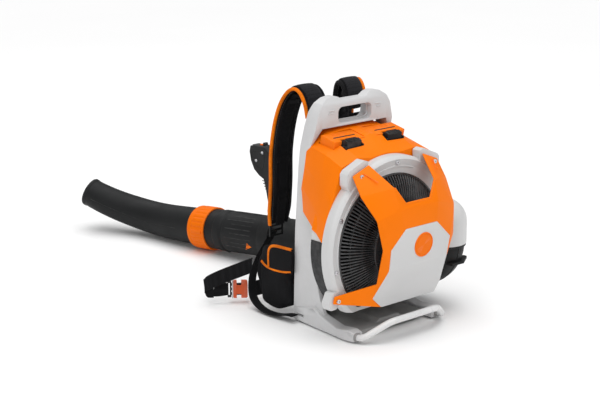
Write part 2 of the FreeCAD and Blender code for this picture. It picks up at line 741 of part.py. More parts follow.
def elbow():
    def bend(r):
        profile = Part.Wire(Part.makeCircle(r, Vector(DUCT_X, DUCT_Y, DUCT_BOTTOM), Z))
        face = Part.Face(profile)
        centre = Vector(DUCT_X, DUCT_Y + ELBOW_BEND, DUCT_BOTTOM)
        return face.revolve(centre, X, 90)

    outer = bend(ELBOW_R).fuse(cyl(46, tuple(ELBOW_END), Y, 16))
    lug = prism_xy([(DUCT_X - 26, DUCT_Y - 22), (DUCT_X - 20, DUCT_Y - 48), (DUCT_X + 14, DUCT_Y - 50),
                    (DUCT_X + 48, DUCT_Y - 28), (DUCT_X + 49, DUCT_Y - 20), (DUCT_X + 40, DUCT_Y - 12),
                    (DUCT_X + 4, DUCT_Y - 22)], DUCT_BOTTOM - 42, DUCT_BOTTOM - 37)
    # The elbow turns in the housing's duct on this spigot.
    spigot = cyl(DUCT_R - WALL - 0.06, (DUCT_X, DUCT_Y, DUCT_BOTTOM + 0.4), Z, 12)
    outer = outer.fuse([lug, spigot, cyl(ELBOW_R, (DUCT_X, DUCT_Y, DUCT_BOTTOM - 1), Z, 6)])
    bore = bend(43.5).fuse(cyl(42.5, tuple(ELBOW_END - Y), Y, 30))
    bore = bore.fuse(cyl(43.5, (DUCT_X, DUCT_Y, DUCT_BOTTOM - 1), Z, 30))
    solid = outer.cut(bore)
    return max(solid.Solids, key=lambda part: part.Volume)


PIVOT = 62.0                # the hose flexes about this point on the axis
BALL_R = 47.5


def hose_rear():
    """Pleated hose, rear part: from the elbow's spigot to its ball end."""
    ball = Part.makeSphere(BALL_R, on_tube(PIVOT))
    room = Part.makeSphere(BALL_R - 3.5, on_tube(PIVOT))
    ball = ball.cut(room).cut(cyl(80, tuple(on_tube(PIVOT + 16)), TUBE_DIR, 60))
    cuff = tube_ring(50, 30, 5, 21)
    neck = tube_ring(39, 30, 25, 24)
    hose = cuff.fuse([neck, ball])
    hose = hose.cut(cyl(46.1, tuple(ELBOW_END - Y * 4), Y, 20.4))
    hose = hose.cut(box(0, 300, -60, ELBOW_END.y + 0.2, 0, 200))
    return hose.cut(cyl(35.5, tuple(on_tube(0)), TUBE_DIR, 110))


def hose_clamps():
    clamp = tube_ring(52.2, 50, 12, 10)
    lug = box(-5, 5, -5, 5, 0, 10)
    lug.translate(on_tube(17, 51.5))
    return clamp.fuse(lug)


def swivel_collar():
    """Collar with a ball socket that lets the tube swing and tilt."""
    seat_r, bore_r, out_r, rib_r, length = BALL_R + 0.4, 43.0, 50.5, 52.0, 40.0
    seat_end = math.sqrt(seat_r ** 2 - bore_r ** 2)
    half = math.atan2(seat_end, bore_r) / 2
    middle = Vector(seat_r * math.cos(half), 0, seat_r * math.sin(half))
    points = [(bore_r, seat_end), (bore_r, length), (out_r, length)]
    for start in (34, 24, 14, 4):
        points += [(out_r, start + 4), (rib_r, start + 4), (rib_r, start), (out_r, start)]
    points += [(out_r, 0), (seat_r, 0)]
    edges = [Part.Arc(Vector(seat_r, 0, 0), middle, Vector(bore_r, 0, seat_end)).toShape()]
    edges += [Part.makeLine(Vector(r0, 0, d0), Vector(r1, 0, d1))
              for (r0, d0), (r1, d1) in zip(points, points[1:])]
    socket = Part.Face(Part.Wire(edges)).revolve(Vector(0, 0, 0), Z, 360)
    socket.Placement = FreeCAD.Placement(on_tube(PIVOT), FreeCAD.Rotation(Z, TUBE_DIR))
    # Round bosses on the axis that the tube tilts about.
    side = TUBE_DIR.cross(Z).normalize()
    bosses = [cyl(11, on_tube(PIVOT) + side * (k * 48.6), side * k, 4.6) for k in (-1, 1)]
    return socket.fuse(bosses)


TUBE_START = 102.3
SLEEVE_R = 50.2             # the control handle's clamp slides on this sleeve
TUBE_END = 630.0
RING_START, RING_END = 612.0, 666.0


def blower_tube():
    tube = tube_ring(TUBE_R, TUBE_R - TUBE_WALL, TUBE_START, TUBE_END - TUBE_START)
    spigot = tube_ring(42.92, 40.0, 89, 17)
    step = tube_ring(TUBE_R, 40.0, TUBE_START, 4)
    collar = tube_ring(TUBE_R + 1.6, TUBE_R - 1, 566, 18)
    sleeve = tube_ring(SLEEVE_R, TUBE_R - 1, 376, 180)
    tube = tube.fuse([spigot, step, collar, sleeve])
    hook = box(-4, 4, -6, 6, -3, 3)
    hook.translate(on_tube(575, -TUBE_R - 2))
    return tube.fuse(hook)


def coupling_ring():
    ring = tube_ring(52.0, TUBE_R + 0.35, RING_START, RING_END - RING_START)
    lip = tube_ring(TUBE_R + 2, 45.5, TUBE_END + 0.8, RING_END - TUBE_END - 0.8)
    ring = ring.fuse(lip)
    side = TUBE_DIR.cross(Z).normalize()
    for i in range(20):
        rib = Part.makeBox(34, 3.4, 2.0, Vector(10, -1.7, 51.2))
        turn = FreeCAD.Rotation(TUBE_DIR, side, TUBE_DIR.cross(side))
        rib.Placement = FreeCAD.Placement(on_tube(RING_START), turn)
        rib.rotate(on_tube(RING_START), TUBE_DIR, 18 * i)
        ring = ring.fuse(rib)
    return ring


NOZZLE_R0, NOZZLE_R1 = 45.0, 36.0
NOZZLE_T = 2.4
NOZZLE_TIP = Vector(-22, 1006, 98)
NOZZLE_OUT = Vector(-36, 86, 36).normalize()
RIM_L = 12.0                # straight rim that takes a push-on tip


def nozzle():
    """Curved nozzle, tapering; its straight root slides inside the tube."""
    straight = RING_END + 34
    curve = Part.BSplineCurve()
    # The bend starts a little after the ring and turns up and inwards.
    curve.interpolate([on_tube(straight), Vector(46, 862, 52.5), NOZZLE_TIP - NOZZLE_OUT * RIM_L],
                      InitialTangent=TUBE_DIR * 170, FinalTangent=NOZZLE_OUT * 170)
    steps = 12

    def skin(shrink):
        wires = []
        for i in range(steps + 1):
            t = curve.FirstParameter + (curve.LastParameter - curve.FirstParameter) * i / steps
            p, d = curve.value(t), curve.tangent(t)[0]
            r = NOZZLE_R0 - (NOZZLE_R0 - NOZZLE_R1) * i / steps
            wires.append(Part.Wire(Part.makeCircle(r - shrink, p, d)))
        return Part.makeLoft(wires, True, False)

    root = RING_START - 80
    rim = cyl(NOZZLE_R1, NOZZLE_TIP, NOZZLE_OUT, -RIM_L)
    solid = cyl(NOZZLE_R0, on_tube(root), TUBE_DIR, straight - root).fuse([skin(0), rim])
    room = cyl(NOZZLE_R0 - NOZZLE_T, on_tube(root - 1), TUBE_DIR, straight - root + 1.5)
    mouth = cyl(NOZZLE_R1 - NOZZLE_T, NOZZLE_TIP + NOZZLE_OUT, NOZZLE_OUT, -RIM_L - 1.5)
    return solid.cut(room.fuse([skin(NOZZLE_T), mouth]))


# ---- control handle -----------------------------------------------------------
HANDLE_AT = 424.0           # distance along the tube


def handle_clamp():
    c = on_tube(HANDLE_AT)
    ring = tube_ring(56, SLEEVE_R + 0.06, HANDLE_AT - 16, 32)
    post = box(-13, 13, -13, 13, 50, 84)
    post.translate(c)
    ears = post.cut(box(c.x - 7.2, c.x + 7.2, c.y - 20, c.y + 20, c.z + 62, c.z + 90))
    clamp = ring.fuse(ears)
    clamp = clamp.cut(cyl(SLEEVE_R + 0.06, tuple(on_tube(HANDLE_AT - 40)), TUBE_DIR, 80))
    clamp = clamp.cut(cyl(3.06, (c.x - 20, c.y, c.z + 74), X, 40))
    return clamp


def handle_bolt():
    c = on_tube(HANDLE_AT)
    shank = cyl(3.0, (c.x - 13, c.y, c.z + 74), X, 27)
    head = cyl(6.5, (c.x - 13, c.y, c.z + 74), X, -5)
    knob = cyl(9.0, (c.x + 13.2, c.y, c.z + 74), X, 8)
    return shank.fuse([head, knob])


def control_handle():
    """Upright pistol grip with a thumb head; it leans on the clamp's bolt."""
    c = on_tube(HANDLE_AT)
    profile = [(-10, 66), (10, 66), (13, 88), (20, 116), (28, 140), (44, 146), (62, 158), (74, 178),
               (79, 200), (76, 214), (56, 218), (22, 219), (8, 210), (3, 190), (0, 160), (-8, 120),
               (-12, 88)]
    body = prism_yz([(c.y + y, c.z + z) for y, z in profile], c.x - 16, c.x + 16)
    body = rounded(body, 5, lambda e: not along(X)(e))
    body = body.cut(box(c.x - 6.4, c.x + 6.4, c.y + 6, c.y + 32, c.z + 114, c.z + 176))
    body = body.cut(box(c.x - 6.4, c.x + 6.4, c.y - 20, c.y + 14, c.z + 115, c.z + 168))
    for side in (-1, 1):
        # The foot of the grip is a tongue between the clamp's ears.
        middle = c.x + side * 18.4
        body = body.cut(box(middle - 11.5, middle + 11.5, c.y - 30, c.y + 30, c.z + 60, c.z + 88))
    body = body.cut(cyl(3.06, (c.x - 20, c.y, c.z + 74), X, 40))
    body = body.cut(box(c.x - 5.4, c.x + 5.4, c.y + 22, c.y + 52, c.z + 202, c.z + 230))
    return body.cut(cyl(1.56, (c.x - 14, c.y + 36, c.z + 212), X, 28)).cut(
        cyl(1.56, (c.x - 14, c.y + 22, c.z + 168), X, 28))


def trigger():
    """Trigger at the rear of the grip, hinged at its top."""
    c = on_tube(HANDLE_AT)
    profile = [(20, 173), (27, 168), (25, 162), (14, 150), (8, 132), (0, 124), (-8, 126), (-10, 134),
               (-2, 150), (6, 166)]
    body = prism_yz([(c.y + y, c.z + z) for y, z in profile], c.x - 5.6, c.x + 5.6)
    return body.cut(cyl(1.62, (c.x - 10, c.y + 22, c.z + 168), X, 20))


def handle_pins():
    c = on_tube(HANDLE_AT)
    return group([cyl(1.56, (c.x - 14, c.y + 22, c.z + 168), X, 28),
                  cyl(1.56, (c.x - 14, c.y + 36, c.z + 212), X, 28)])


def cruise_lever():
    c = on_tube(HANDLE_AT)
    disc = cyl(8.4, (c.x - 4.6, c.y + 36, c.z + 212), X, 9.2)
    tab = box(c.x - 4.6, c.x + 4.6, c.y + 32, c.y + 40, c.z + 212, c.z + 226)
    lever = disc.fuse(rounded(tab, 2, along(X)))
    return lever.cut(cyl(1.62, (c.x - 10, c.y + 36, c.z + 212), X, 20))


# ---- harness ---------------------------------------------------------------------
# Middle line of a shoulder pad: distance from the middle, y, z.
PAD_ROUTE = [(56, 101, 435), (57, 107, 462), (60, 118, 485), (64, 134, 494), (70, 150, 484),
             (78, 164, 456), (84, 175, 410), (STRAP_X, 181, 350), (STRAP_X, 182, 290),
             (STRAP_X, 186, 235), (STRAP_X, 192, 192)]


def shoulder_pad(side):
    """Padded strap, lofted through straight-sided sections along its route."""
    line = Part.BSplineCurve()
    line.interpolate([Vector(side * x, y, z) for x, y, z in PAD_ROUTE])
    first, last = line.FirstParameter, line.LastParameter
    count = 26
    across = X * (STRAP_W / 2)
    sections = []
    for i in range(count + 1):
        t = first + (last - first) * i / count
        p = line.value(t)
        n = line.tangent(t)[0].cross(X).normalize() * 5.5
        sections.append([p + across + n, p - across + n, p - across - n, p + across - n])
    return strip(sections)


def upper_yoke():
    """Padded yoke that joins both shoulder straps to the plate."""
    body = rounded(box(-100, 100, WEB_Y + WEB_T, 95, 392, 426), 2, along(Y))
    return body.fuse([box(x - 28, x + 28, 92, 97, 420, 433) for x in (-56, 56)])


def back_pad():
    body = rounded(box(-96, 96, 92, 112, 236, 391), 9, along(Y))
    return body.cut(box(-12, 12, 104, 120, 220, 410))


def lumbar_pad():
    body = rounded(box(-98, 98, 92, 118, 70, 176), 10, along(Y))
    return body.cut(box(-12, 12, 110, 125, 60, 190))


def ladder_buckle(side):
    frame = box(-19, 19, -2, 2, -13, 13)
    frame = frame.cut(box(-14, 14, -5, 5, 3, 9)).cut(box(-14, 14, -5, 5, -9, -2))
    frame.translate(Vector(side * STRAP_X, 198, 176))
    return frame


def lower_webbing(side):
    """Strap from the pad's adjuster down past the hip to the tab on the foot."""
    if side < 0:
        route = [(-STRAP_X, 202, 178), (-96, 214, 150), (-110, 230, 110), (-122, 238, 66),
                 (-130, 226, 26), (-134, 190, 8), (-134, 146, 7), (-132, 106, 16), (-131, 90, 17)]
    else:
        route = [(STRAP_X, 202, 178), (84, 214, 150), (79, 222, 110), (79, 222, 66),
                 (84, 212, 30), (100, 184, 9), (118, 146, 7), (129, 106, 17.5), (131, 90, 17.5)]
    return webbing(route, (1, 0, 0), 22, 1.8)


def hip_pad(side):
    """Hip fin with a pocket; the right one folds in, beside the tube."""
    if side < 0:
        route = [(94, -111), (120, -113), (160, -116), (200, -115), (232, -112)]
        shape = [(108, 30), (112, 150), (150, 160), (200, 150), (219, 118), (229, 88), (228, 74),
                 (214, 34), (196, 16), (150, 12)]
    else:
        route = [(94, 92), (120, 90), (160, 80), (200, 70)]
        shape = [(119, 44), (119, 150), (150, 158), (184, 148), (194, 118), (194, 70), (180, 50), (150, 42)]
    outer = [(x + 11, y) for y, x in route]
    inner = [(x - 11, y) for y, x in reversed(route)]
    return prism_xy(outer + inner, 0, 200).common(prism_yz(shape, -160, 160))


def hip_webbing(side):
    if side < 0:
        route = [(-119, 243, 92), (-124, 250, 88), (-150, 278, 72), (-176, 304, 56), (-188, 322, 42),
                 (-182, 322, 30), (-171, 313, 29)]
    else:
        route = [(66, 197, 90), (52, 214, 84), (24, 234, 66), (-14, 248, 48), (-50, 256, 34),
                 (-84, 262, 29), (-104, 265, 30)]
    return webbing(route, (0, 0.15, 1), 34, 2.0)


def buckle_frame(tail):
    """Placement of the hip buckle: x runs from the left strap to the right one."""
    return FreeCAD.Placement(Vector(*tail), FreeCAD.Rotation(Z, -38))


BUCKLE_AT = (-147, 294, 31)


def buckle_socket():
    body = rounded(box(12, 44, -7, 7, -19, 19), 4, along(Y))
    body = body.cut(box(5, 36, -4.4, 4.4, -14, 14))
    body = body.cut(box(20, 30, -20, 20, -25, -10)).cut(box(20, 30, -20, 20, 10, 25))
    body.Placement = buckle_frame(BUCKLE_AT)
    return body


def buckle_tongue():
    bar = box(0, 8, -4, 4, -18, 18).cut(box(2, 5, -6, 6, -15, 15))
    prongs = [box(7.5, 32, -3.6, 3.6, -13, -8), box(7.5, 32, -3.6, 3.6, 8, 13),
              box(7.5, 34, -3.6, 3.6, -2.5, 2.5)]
    body = bar.fuse(prongs)
    body.Placement = buckle_frame(BUCKLE_AT)
    return body


# ---- build -------------------------------------------------------------------------
nodes["backplate"] = backplate()
nodes["stand_bar"] = stand_bar()
nodes["base_deck"] = base_deck()
nodes["rubber_feet"] = rubber_feet()
rear_shell, front_shell = split_housing(housing())
rear_shell = rear_shell.cut(screw_seats(ring_screw_places(), RING_SEAT_Y))
nodes["fan_housing_rear"] = rear_shell
nodes["fan_housing_front"] = front_shell
nodes["housing_screws"] = group(ring_screws())
nodes["intake_grille"] = intake_grille()
nodes["shield"] = shield()
nodes["shield_panel"] = shield_panel()
nodes["shield_badge"] = badge()
nodes["shield_screws"] = group(shield_screws())
cover = top_cover().cut(nodes["backplate"])
nodes["top_cover"] = max(cover.Solids, key=lambda part: part.Volume)
nodes["battery_bay"] = battery_bay()
nodes["contact_blocks"] = contact_blocks()
nodes["fan_wheel"] = fan_wheel()
nodes["fan_nut"] = fan_nut()
nodes["motor_shaft"] = motor_shaft()
nodes["motor_rotor"] = motor_rotor()
nodes["motor_stator"] = motor_stator()
nodes["motor_windings"] = motor_windings()
nodes["motor_mount"] = motor_mount()
nodes["motor_bolts"] = motor_bolts()
nodes["bearings"] = bearings()
nodes["controller"] = controller()
nodes["unit_bracket"] = unit_bracket()
nodes["rubber_mounts"] = rubber_mounts()
nodes["power_leads"] = power_leads()
nodes["outlet_elbow"] = elbow()
nodes["hose"] = hose_rear()
nodes["hose_clamp"] = hose_clamps()
nodes["swivel_collar"] = swivel_collar()
nodes["blower_tube"] = blower_tube()
nodes["coupling_ring"] = coupling_ring()
nodes["nozzle"] = nozzle()
nodes["handle_clamp"] = handle_clamp()
nodes["handle_bolt"] = handle_bolt()
nodes["control_handle"] = control_handle()
nodes["trigger"] = trigger()
nodes["handle_pins"] = handle_pins()
nodes["cruise_lever"] = cruise_lever()
nodes["harness_yoke"] = upper_yoke()
nodes["back_pad"] = back_pad()
nodes["lumbar_pad"] = lumbar_pad()
nodes["buckle_socket"] = buckle_socket()
nodes["buckle_tongue"] = buckle_tongue()
for name, side in (("left", -1), ("right", 1)):
    nodes["battery_" + name] = battery(side)
    nodes["battery_latch_" + name] = battery_latch(side)
    nodes["shoulder_pad_" + name] = shoulder_pad(side)
    nodes["strap_adjuster_" + name] = ladder_buckle(side)
    nodes["lower_webbing_" + name] = lower_webbing(side)
    nodes["hip_pad_" + name] = hip_pad(side)
    nodes["hip_webbing_" + name] = hip_webbing(side)

os.makedirs("parts", exist_ok=True)
for name, shape in nodes.items():
    box_ = shape.BoundBox
    print("%-22s valid %s solids %d vol %.0f  x %.0f..%.0f y %.0f..%.0f z %.1f..%.1f"
          % (name, shape.isValid(), len(shape.Solids), shape.Volume, box_.XMin, box_.XMax,
             box_.YMin, box_.YMax, box_.ZMin, box_.ZMax))
    shape.exportStep("parts/" + name + ".step")
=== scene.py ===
import math

import bmesh
import bpy
from mathutils import Matrix, Vector


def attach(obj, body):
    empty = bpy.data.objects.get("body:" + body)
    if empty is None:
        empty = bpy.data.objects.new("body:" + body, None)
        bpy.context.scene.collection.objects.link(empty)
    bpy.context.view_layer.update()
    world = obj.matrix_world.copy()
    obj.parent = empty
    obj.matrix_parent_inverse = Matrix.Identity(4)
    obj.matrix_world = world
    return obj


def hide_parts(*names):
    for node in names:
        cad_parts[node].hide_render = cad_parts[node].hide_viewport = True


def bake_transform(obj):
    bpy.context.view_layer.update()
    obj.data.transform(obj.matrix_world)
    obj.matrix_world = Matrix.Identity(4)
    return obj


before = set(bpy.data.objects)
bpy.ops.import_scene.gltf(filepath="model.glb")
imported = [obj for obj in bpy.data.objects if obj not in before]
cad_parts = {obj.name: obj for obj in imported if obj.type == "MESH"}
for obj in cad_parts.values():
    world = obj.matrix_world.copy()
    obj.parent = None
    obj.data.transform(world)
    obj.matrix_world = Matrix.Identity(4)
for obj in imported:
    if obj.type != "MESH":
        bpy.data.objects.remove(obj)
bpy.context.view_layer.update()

# Backpack leaf blower: the looks, in metres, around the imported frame.
# Points below are written in millimetres in the same frame and scaled by MM.
MM = 0.001
X, Y, Z = Vector((1, 0, 0)), Vector((0, 1, 0)), Vector((0, 0, 1))
scene = bpy.context.scene


# ---- dimensions shared with the frame, in millimetres ------------------------
AXIS_Z = 190.0
MOUTH = Vector((-8.0, 0.0, 186.0))
DUCT = Vector((186.0, -38.0, 148.0))
ELBOW_END = Vector((186.0, 17.0, 93.0))
TUBE_DIR = Vector((-103, 628, -37)).normalized()
PIVOT = 62.0
RING_START, RING_END = 612.0, 666.0
HANDLE_AT = 424.0
SLOT_X = 59.0
PACK_LEAN = math.radians(12.0)
PACK_TOP = (24.0, 401.0)
NOZZLE_TIP = Vector((-22, 1006, 98))
NOZZLE_OUT = Vector((-36, 86, 36)).normalized()
NOZZLE_R, NOZZLE_TAPER = 45.0, 9.0
NOZZLE_WALL = 2.4
SLEEVE_R = 50.19
RIB_START = 464
BEND_R, BEND_SEAM_R = 55, 47.2
GUARD_R = 146.5
GUARD_FLOOR = 71.5
BINDING_OUT, BINDING_IN = 29.4, 28.2


def on_tube(distance, radial=0.0):
    return ELBOW_END + TUBE_DIR * distance + Vector((0, 0, radial))


# ---- materials ------------------------------------------------------------------
class Nodes:
    """Short way to write a node tree."""

    def __init__(self, name):
        self.material = bpy.data.materials.new(name)
        self.material.use_nodes = True
        self.tree = self.material.node_tree
        self.shader = self.tree.nodes["Principled BSDF"]
        self.coord = self.add("ShaderNodeTexCoord").outputs["Object"]

    def add(self, kind, settings=None, **values):
        node = self.tree.nodes.new(kind)
        for key, value in (settings or {}).items():
            setattr(node, key, value)
        for key, value in values.items():
            self.put(node.inputs[key.replace("_", " ")], value)
        return node

    def put(self, socket, value):
        if isinstance(value, bpy.types.NodeSocket):
            self.tree.links.new(value, socket)
        else:
            socket.default_value = value

    def set(self, **values):
        """Sets the shader's inputs, each to a number, a colour or a socket."""
        for key, value in values.items():
            self.put(self.shader.inputs[key.replace("_", " ")], value)

    def noise(self, scale, detail=2.0, stretch=None):
        vector = self.coord
        if stretch:
            vector = self.add("ShaderNodeMapping", Vector=vector, Scale=stretch).outputs[0]
        return self.add("ShaderNodeTexNoise", Vector=vector, Scale=scale, Detail=detail).outputs[0]

    def math(self, operation, a, b=0.0):
        node = self.add("ShaderNodeMath", {"operation": operation})
        self.put(node.inputs[0], a)
        self.put(node.inputs[1], b)
        return node.outputs[0]

    def remap(self, value, low, high, out_low, out_high):
        node = self.add("ShaderNodeMapRange")
        for i, v in enumerate((value, low, high, out_low, out_high)):
            self.put(node.inputs[i], v)
        return node.outputs[0]

    def mix(self, factor, a, b):
        node = self.add("ShaderNodeMix", {"data_type": "RGBA"})
        self.put(node.inputs[0], factor)
        self.put(node.inputs[6], a)
        self.put(node.inputs[7], b)
        return node.outputs[2]

    def bump(self, height, distance, strength=1.0, under=None):
        node = self.add("ShaderNodeBump", Height=height, Distance=distance, Strength=strength)
        if under:
            self.put(node.inputs["Normal"], under)
        return node.outputs[0]


def rgba(colour, k=1.0):
    return tuple(min(1.0, c * k) for c in colour) + (1.0,)


def moulded(name, colour, rough=0.45, grain=0.00010, mottle=0.05, wear=0.25, painted_corner_shade=0.0, coat=0.0, gloss=0.4):
    """Moulded plastic: fine spark-eroded grain, faint flow marks, rubbed edges, painted shade in concave
    corners.
    """
    n = Nodes(name)
    cloud = n.noise(9.0, 4.0)
    base = n.mix(n.remap(cloud, 0.35, 0.65, 0.0, 1.0), rgba(colour, 1 - mottle), rgba(colour, 1 + mottle))
    edge = n.add("ShaderNodeNewGeometry").outputs["Pointiness"]
    worn = n.remap(edge, 0.53, 0.62, 0.0, wear)
    rub = n.math("MULTIPLY", worn, n.remap(n.noise(70.0), 0.4, 0.62, 0.3, 1.0))
    pale = tuple(c + (0.55 - c) * 0.35 if max(colour) < 0.3 else c + (1 - c) * 0.18 for c in colour)
    base = n.mix(rub, base, rgba(pale))
    # Painted shade: concave corners are darkened towards a brownish grey, broken up by noise.
    if painted_corner_shade:
        corner = n.remap(edge, 0.40, 0.49, painted_corner_shade, 0.0)
        corner_shade_mix = n.math("MULTIPLY", corner, n.remap(n.noise(35.0), 0.4, 0.7, 0.2, 1.0))
        base = n.mix(corner_shade_mix, base, rgba((0.20, 0.18, 0.15)))
    n.set(Base_Color=base, Roughness=n.remap(n.noise(28.0, 5.0), 0.3, 0.7, rough - 0.07, rough + 0.07))
    fine = n.bump(n.noise(1500.0, 1.0), grain, 0.55)
    n.set(Normal=n.bump(n.noise(60.0, 2.0), 0.00025, 0.12, fine), Specular_IOR_Level=gloss)
    n.set(Coat_Weight=coat, Coat_Roughness=0.25)
    return n.material


def metal(name, colour, rough):
    """Bare metal, brushed along one way."""
    n = Nodes(name)
    n.set(Metallic=1.0)
    tone = n.remap(n.noise(25.0, 4.0), 0.3, 0.7, 0.0, 1.0)
    n.set(Base_Color=n.mix(tone, rgba(colour, 0.85), rgba(colour, 1.1)))
    brushed = n.noise(300.0, 3.0, (1.0, 0.05, 1.0))
    n.set(Roughness=n.remap(brushed, 0.3, 0.7, rough - 0.1, rough + 0.1))
    n.set(Normal=n.bump(brushed, 0.00004, 0.6))
    return n.material


def coated_steel(name, colour):
    """Powder coat: orange-peel ripple under a satin gloss."""
    n = Nodes(name)
    tone = n.remap(n.noise(14.0, 3.0), 0.3, 0.7, 0.0, 1.0)
    n.set(Base_Color=n.mix(tone, rgba(colour, 0.96), rgba(colour, 1.02)))
    n.set(Roughness=n.remap(n.noise(60.0), 0.3, 0.7, 0.26, 0.36))
    n.set(Normal=n.bump(n.noise(420.0, 1.0), 0.00012, 0.5), Coat_Weight=0.35, Coat_Roughness=0.12)
    return n.material


# The wave texture repeats every 2 pi / 20 units at scale 1.
WAVE_PERIOD = 0.31416


def woven(name, colour, thread=0.0016, depth=0.00035, rough=0.85, twill=False, contrast=0.35):
    """Woven cloth: two sets of threads crossing, from bands along the three axes."""
    n = Nodes(name)
    scale = WAVE_PERIOD / thread
    bands = []
    vector = n.coord
    if twill:
        vector = n.add("ShaderNodeMapping", Vector=vector, Rotation=(0.6, 0.5, 0.78)).outputs[0]
    for d in ("X", "Y", "Z"):
        wave = n.add("ShaderNodeTexWave", {"bands_direction": d}, Vector=vector, Scale=scale,
                     Distortion=0.6, Detail=1.0, Detail_Scale=2.0)
        bands.append(wave.outputs["Fac"])
    weave = n.math("MULTIPLY", n.math("MAXIMUM", bands[0], bands[1]), n.math("MAXIMUM", bands[1], bands[2]))
    tone = n.math("ADD", n.math("MULTIPLY", weave, contrast),
                  n.remap(n.noise(22.0, 4.0), 0.3, 0.7, 0.0, 1.0 - contrast))
    n.set(Base_Color=n.mix(tone, rgba(colour, 0.62), rgba(colour, 1.45)))
    n.set(Roughness=n.remap(weave, 0.0, 1.0, rough, rough - 0.15))
    folds = n.bump(n.noise(26.0, 3.0), 0.0016, 0.35)
    n.set(Normal=n.bump(weave, depth, 0.9, folds), Sheen_Weight=0.03, Sheen_Roughness=0.45)
    n.set(Sheen_Tint=rgba(tuple(0.35 + c * 0.6 for c in colour)), Specular_IOR_Level=0.12)
    return n.material


def mesh_cloth(name, colour):
    """Open spacer mesh: rows of small holes in a padded face."""
    n = Nodes(name)
    cells = n.add("ShaderNodeTexVoronoi", {"feature": "F1"}, Vector=n.coord, Scale=260.0, Randomness=0.12)
    hole = n.remap(cells.outputs["Distance"], 0.18, 0.42, 0.0, 1.0)
    n.set(Base_Color=n.mix(hole, rgba(colour, 0.35), rgba(colour, 1.6)), Roughness=0.9)
    folds = n.bump(n.noise(20.0, 3.0), 0.002, 0.3)
    n.set(Normal=n.bump(hole, 0.0007, 0.9, folds), Sheen_Weight=0.04, Sheen_Roughness=0.5)
    n.set(Specular_IOR_Level=0.2)
    return n.material


WHITE = moulded("white_shell", (0.60, 0.60, 0.60), 0.40, mottle=0.015, wear=0.3, painted_corner_shade=0.25, coat=0.12)
WHITE_PLATE = moulded("white_plate", (0.60, 0.60, 0.605), 0.46, mottle=0.015, wear=0.3, painted_corner_shade=0.2)
ORANGE = moulded("orange_shell", (0.92, 0.19, 0.001), 0.40, mottle=0.03, wear=0.2, painted_corner_shade=0.1, gloss=0.1)
ORANGE_SOFT = moulded("orange_trim", (0.87, 0.165, 0.001), 0.44, mottle=0.04, wear=0.2, gloss=0.1)
BLACK = moulded("black_moulding", (0.014, 0.0145, 0.015), 0.50, grain=0.00014, mottle=0.12, wear=0.2,
                gloss=0.16)
BLACK_MATT = moulded("black_grip", (0.011, 0.011, 0.012), 0.60, grain=0.00022, mottle=0.12, wear=0.2,
                     gloss=0.3)
GUARD = moulded("guard_black", (0.016, 0.0165, 0.018), 0.27, mottle=0.1, wear=0.4, gloss=0.6)
# Grey trim; on the deck this grey is painted shade over white plastic.
GREY_AND_DECK_SHADE = moulded("grey_with_painted_deck_shade", (0.30, 0.295, 0.29), 0.5, mottle=0.08, wear=0.25)
RED = moulded("red_release", (0.64, 0.085, 0.012), 0.38, mottle=0.05, wear=0.3)
RUBBER = moulded("rubber", (0.02, 0.02, 0.02), 0.72, grain=0.0002, mottle=0.1, wear=0.15)
COPPER = metal("copper_wire", (0.72, 0.30, 0.14), 0.32)
STEEL = metal("steel", (0.60, 0.60, 0.62), 0.28)
ALU = metal("aluminium", (0.70, 0.71, 0.72), 0.34)
BAR_COAT = coated_steel("bar_powder_coat", (0.74, 0.74, 0.74))
PAD_CLOTH = woven("pad_cloth", (0.0065, 0.0065, 0.0075), 0.0019, 0.0004)
PAD_MESH = mesh_cloth("pad_mesh", (0.010, 0.010, 0.0115))
WEBBING = woven("webbing", (0.006, 0.006, 0.007), 0.0028, 0.0006, rough=0.7, twill=True, contrast=0.5)
PIPING = woven("orange_piping", (0.78, 0.16, 0.002), 0.0018, 0.0003, rough=0.6, twill=True, contrast=0.3)
THREAD = woven("thread", (0.10, 0.10, 0.105), 0.0012, 0.0002, rough=0.6)


# ---- mesh helpers -----------------------------------------------------------------
def smooth_by_angle(mesh, angle=32.0):
    mesh.polygons.foreach_set("use_smooth", [True] * len(mesh.polygons))
    mesh.set_sharp_from_angle(angle=math.radians(angle))


def finish_piece(ob, body, material, replaces=(), angle=32.0):
    ob.data.materials.clear()
    ob.data.materials.append(material)
    smooth_by_angle(ob.data, angle)
    if replaces:
        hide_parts(*replaces)
    if body:
        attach(ob, body)
    return ob


def new_object(name, data):
    ob = bpy.data.objects.new(name, data)
    scene.collection.objects.link(ob)
    return ob


def piece(name, verts, faces, body, material, replaces=(), bevel=0.0, segments=3, angle=32.0):
    """Mesh object from millimetre points, with its edges bevelled if asked."""
    mesh = bpy.data.meshes.new(name)
    mesh.from_pydata([tuple(Vector(v) * MM) for v in verts], [], faces)
    bm = bmesh.new()
    bm.from_mesh(mesh)
    bmesh.ops.remove_doubles(bm, verts=bm.verts, dist=1e-6)
    bmesh.ops.recalc_face_normals(bm, faces=bm.faces)
    bm.to_mesh(mesh)
    bm.free()
    ob = new_object(name, mesh)
    if bevel:
        add_bevel(ob, bevel, segments)
        apply_modifiers(ob)
    return finish_piece(ob, body, material, replaces, angle)


def add_bevel(ob, width, segments=3, limit=25.0):
    m = ob.modifiers.new("edge", "BEVEL")
    m.width, m.segments, m.limit_method = width * MM, segments, "ANGLE"
    m.angle_limit = math.radians(limit)
    m.use_clamp_overlap = True


def apply_modifiers(ob):
    graph = bpy.context.evaluated_depsgraph_get()
    graph.update()
    mesh = bpy.data.meshes.new_from_object(ob.evaluated_get(graph))
    ob.modifiers.clear()
    ob.data = mesh


